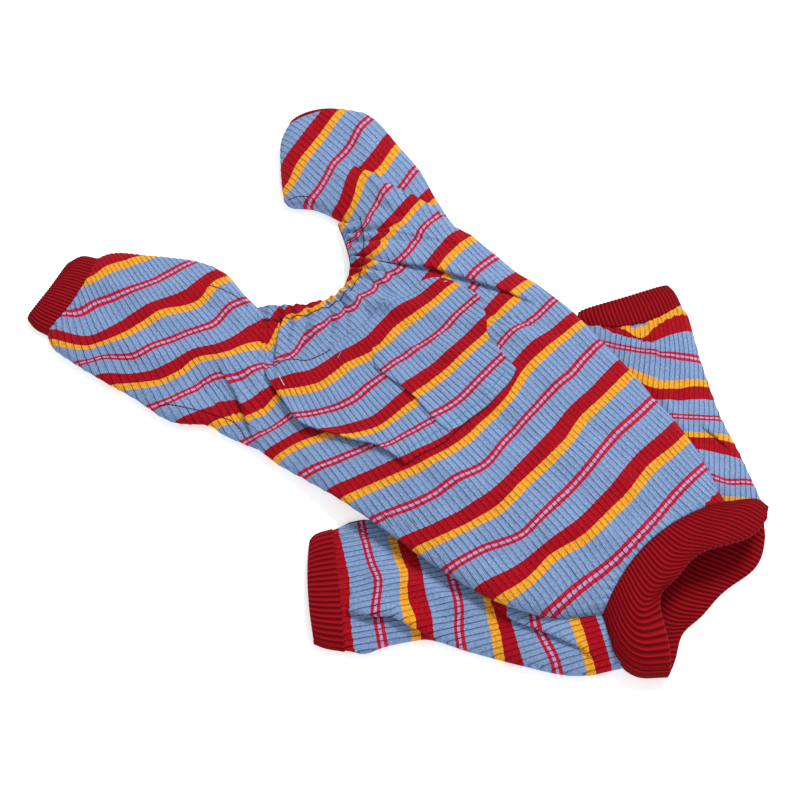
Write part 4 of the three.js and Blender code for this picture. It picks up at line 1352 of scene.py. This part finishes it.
on_cloth = surface(pieces[name] for name in ("torso", "front_left_sleeve", "front_right_sleeve", "pocket"))
casing_turns = np.linspace(0.06 * np.pi, 0.94 * np.pi, 160)
casing_line = torso.ring(np.full(160, torso_end - torso.rows_over(0.6)), casing_turns)[:, :2]
thread_start, thread_end, thread_inside = POCKET_EDGE_THREAD
pocket_thread = curve_at(POCKET_TOP, np.linspace(thread_start, thread_end, 30)) - (0, thread_inside)
red_thread = stitching(
    "crimson_thread",
    (casing_line, seam(UNDERARM_SEAM), seam(SHOULDER_SEAM), seam(SLEEVE_HEM_STITCH),
     pocket_thread),
    on_cloth, thread("thread_crimson", (0.09, 0.003, 0.02)), pitch=2.9, length=2.5,
)
blue_thread = stitching(
    "blue_thread", (seam(POCKET_HEM_STITCH), seam(POCKET_HEM_STITCH_RIGHT), seam(POCKET_FOOT_STITCH)),
    on_cloth, thread("thread_blue", (0.03, 0.3, 0.55)), radius=0.3,
)
white_thread = stitching(
    "white_thread", [seam(line) for line in POCKET_TACKS],
    on_cloth, thread("thread_white", (0.75, 0.72, 0.85)), radius=0.3,
)

# Flat sizes in metres that each piece was cut to, and its cut area where it isn't a rectangle
CUTS = {
    "torso": ((0.46, 0.36), 0.145, ("hind_left_leg", "hind_right_leg")),
    "neck_casing": ((0.27, 0.013), 0.0034, ("torso",)),
    "front_left_sleeve": ((0.25, 0.2), 0.04, ()),
    "front_right_sleeve": ((0.2, 0.15), 0.026, ()),
    "front_left_cuff": ((0.16, 0.024), None, ()),
    "front_right_cuff": ((0.13, 0.045), None, ()),
    "hind_left_leg": ((0.19, 0.22), 0.038, ()),
    "hind_right_leg": ((0.19, 0.18), 0.03, ()),
    "hind_left_cuff": ((0.17, 0.024), None, ()),
    "hind_right_cuff": ((0.17, 0.024), None, ()),
    "rear_band": ((0.36, 0.045), None, ()),
    "pocket": ((0.16, 0.14), 0.0175, ("torso",)),
}
for node, piece in pieces.items():
    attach(piece, "root")
    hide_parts(node)
    "crimson_rib" if "cuff" in node or "band" in node else "striped_knit"
for node, (flat, area, rests) in CUTS.items():
    under = [pieces[name].name for name in rests] or ["floor"]
    sewn = {"torso": [red_thread], "pocket": [blue_thread, white_thread]}.get(node, ())
    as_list(sewn)

# Floor, light and camera

floor_corners = np.array(((-1, -1, 0), (1, -1, 0), (1, 1, 0), (-1, 1, 0))) * 40_000
floor = add_object("floor", floor_corners, [(0, 1, 2, 3)], plain_floor())

scene.view_settings.view_transform = "Standard"
world = bpy.data.worlds.new("studio")
world.use_nodes = True
world.node_tree.nodes["Background"].inputs["Color"].default_value = (1, 1, 1, 1)
world.node_tree.nodes["Background"].inputs["Strength"].default_value = 0.48
scene.world = world


def softbox(name, place, size, power):
    """A round soft light that shines on the middle of the garment."""
    light = bpy.data.lights.new(name, "AREA")
    light.shape = "DISK"
    light.size = size
    light.energy = power
    lamp = bpy.data.objects.new(name, light)
    lamp.location = place
    lamp.rotation_mode = "QUATERNION"
    lamp.rotation_quaternion = (-Vector(place)).to_track_quat("-Z", "Y")
    scene.collection.objects.link(lamp)


softbox("key", (2.6, 0.4, 3.5), 1.5, 178)
softbox("fill", (-0.9, -0.9, 1.5), 1.2, 7)

CAMERA_PLACE = (-0.4042, -0.3368, 0.9712)
CAMERA_RIGHT = (0.6561, -0.7547, 0.0)
CAMERA_UP = (0.6664, 0.5793, 0.4695)
CAMERA_AHEAD = (0.3543, 0.3080, -0.8829)
camera_data = bpy.data.cameras.new("camera")
camera_data.lens = 64.35
camera_data.sensor_width = 36
camera = bpy.data.objects.new("camera", camera_data)
columns = (CAMERA_RIGHT, CAMERA_UP, tuple(-a for a in CAMERA_AHEAD), CAMERA_PLACE)
camera.matrix_world = Matrix([[c[axis] for c in columns] for axis in range(3)] + [[0, 0, 0, 1]])
scene.collection.objects.link(camera)
scene.camera = camera
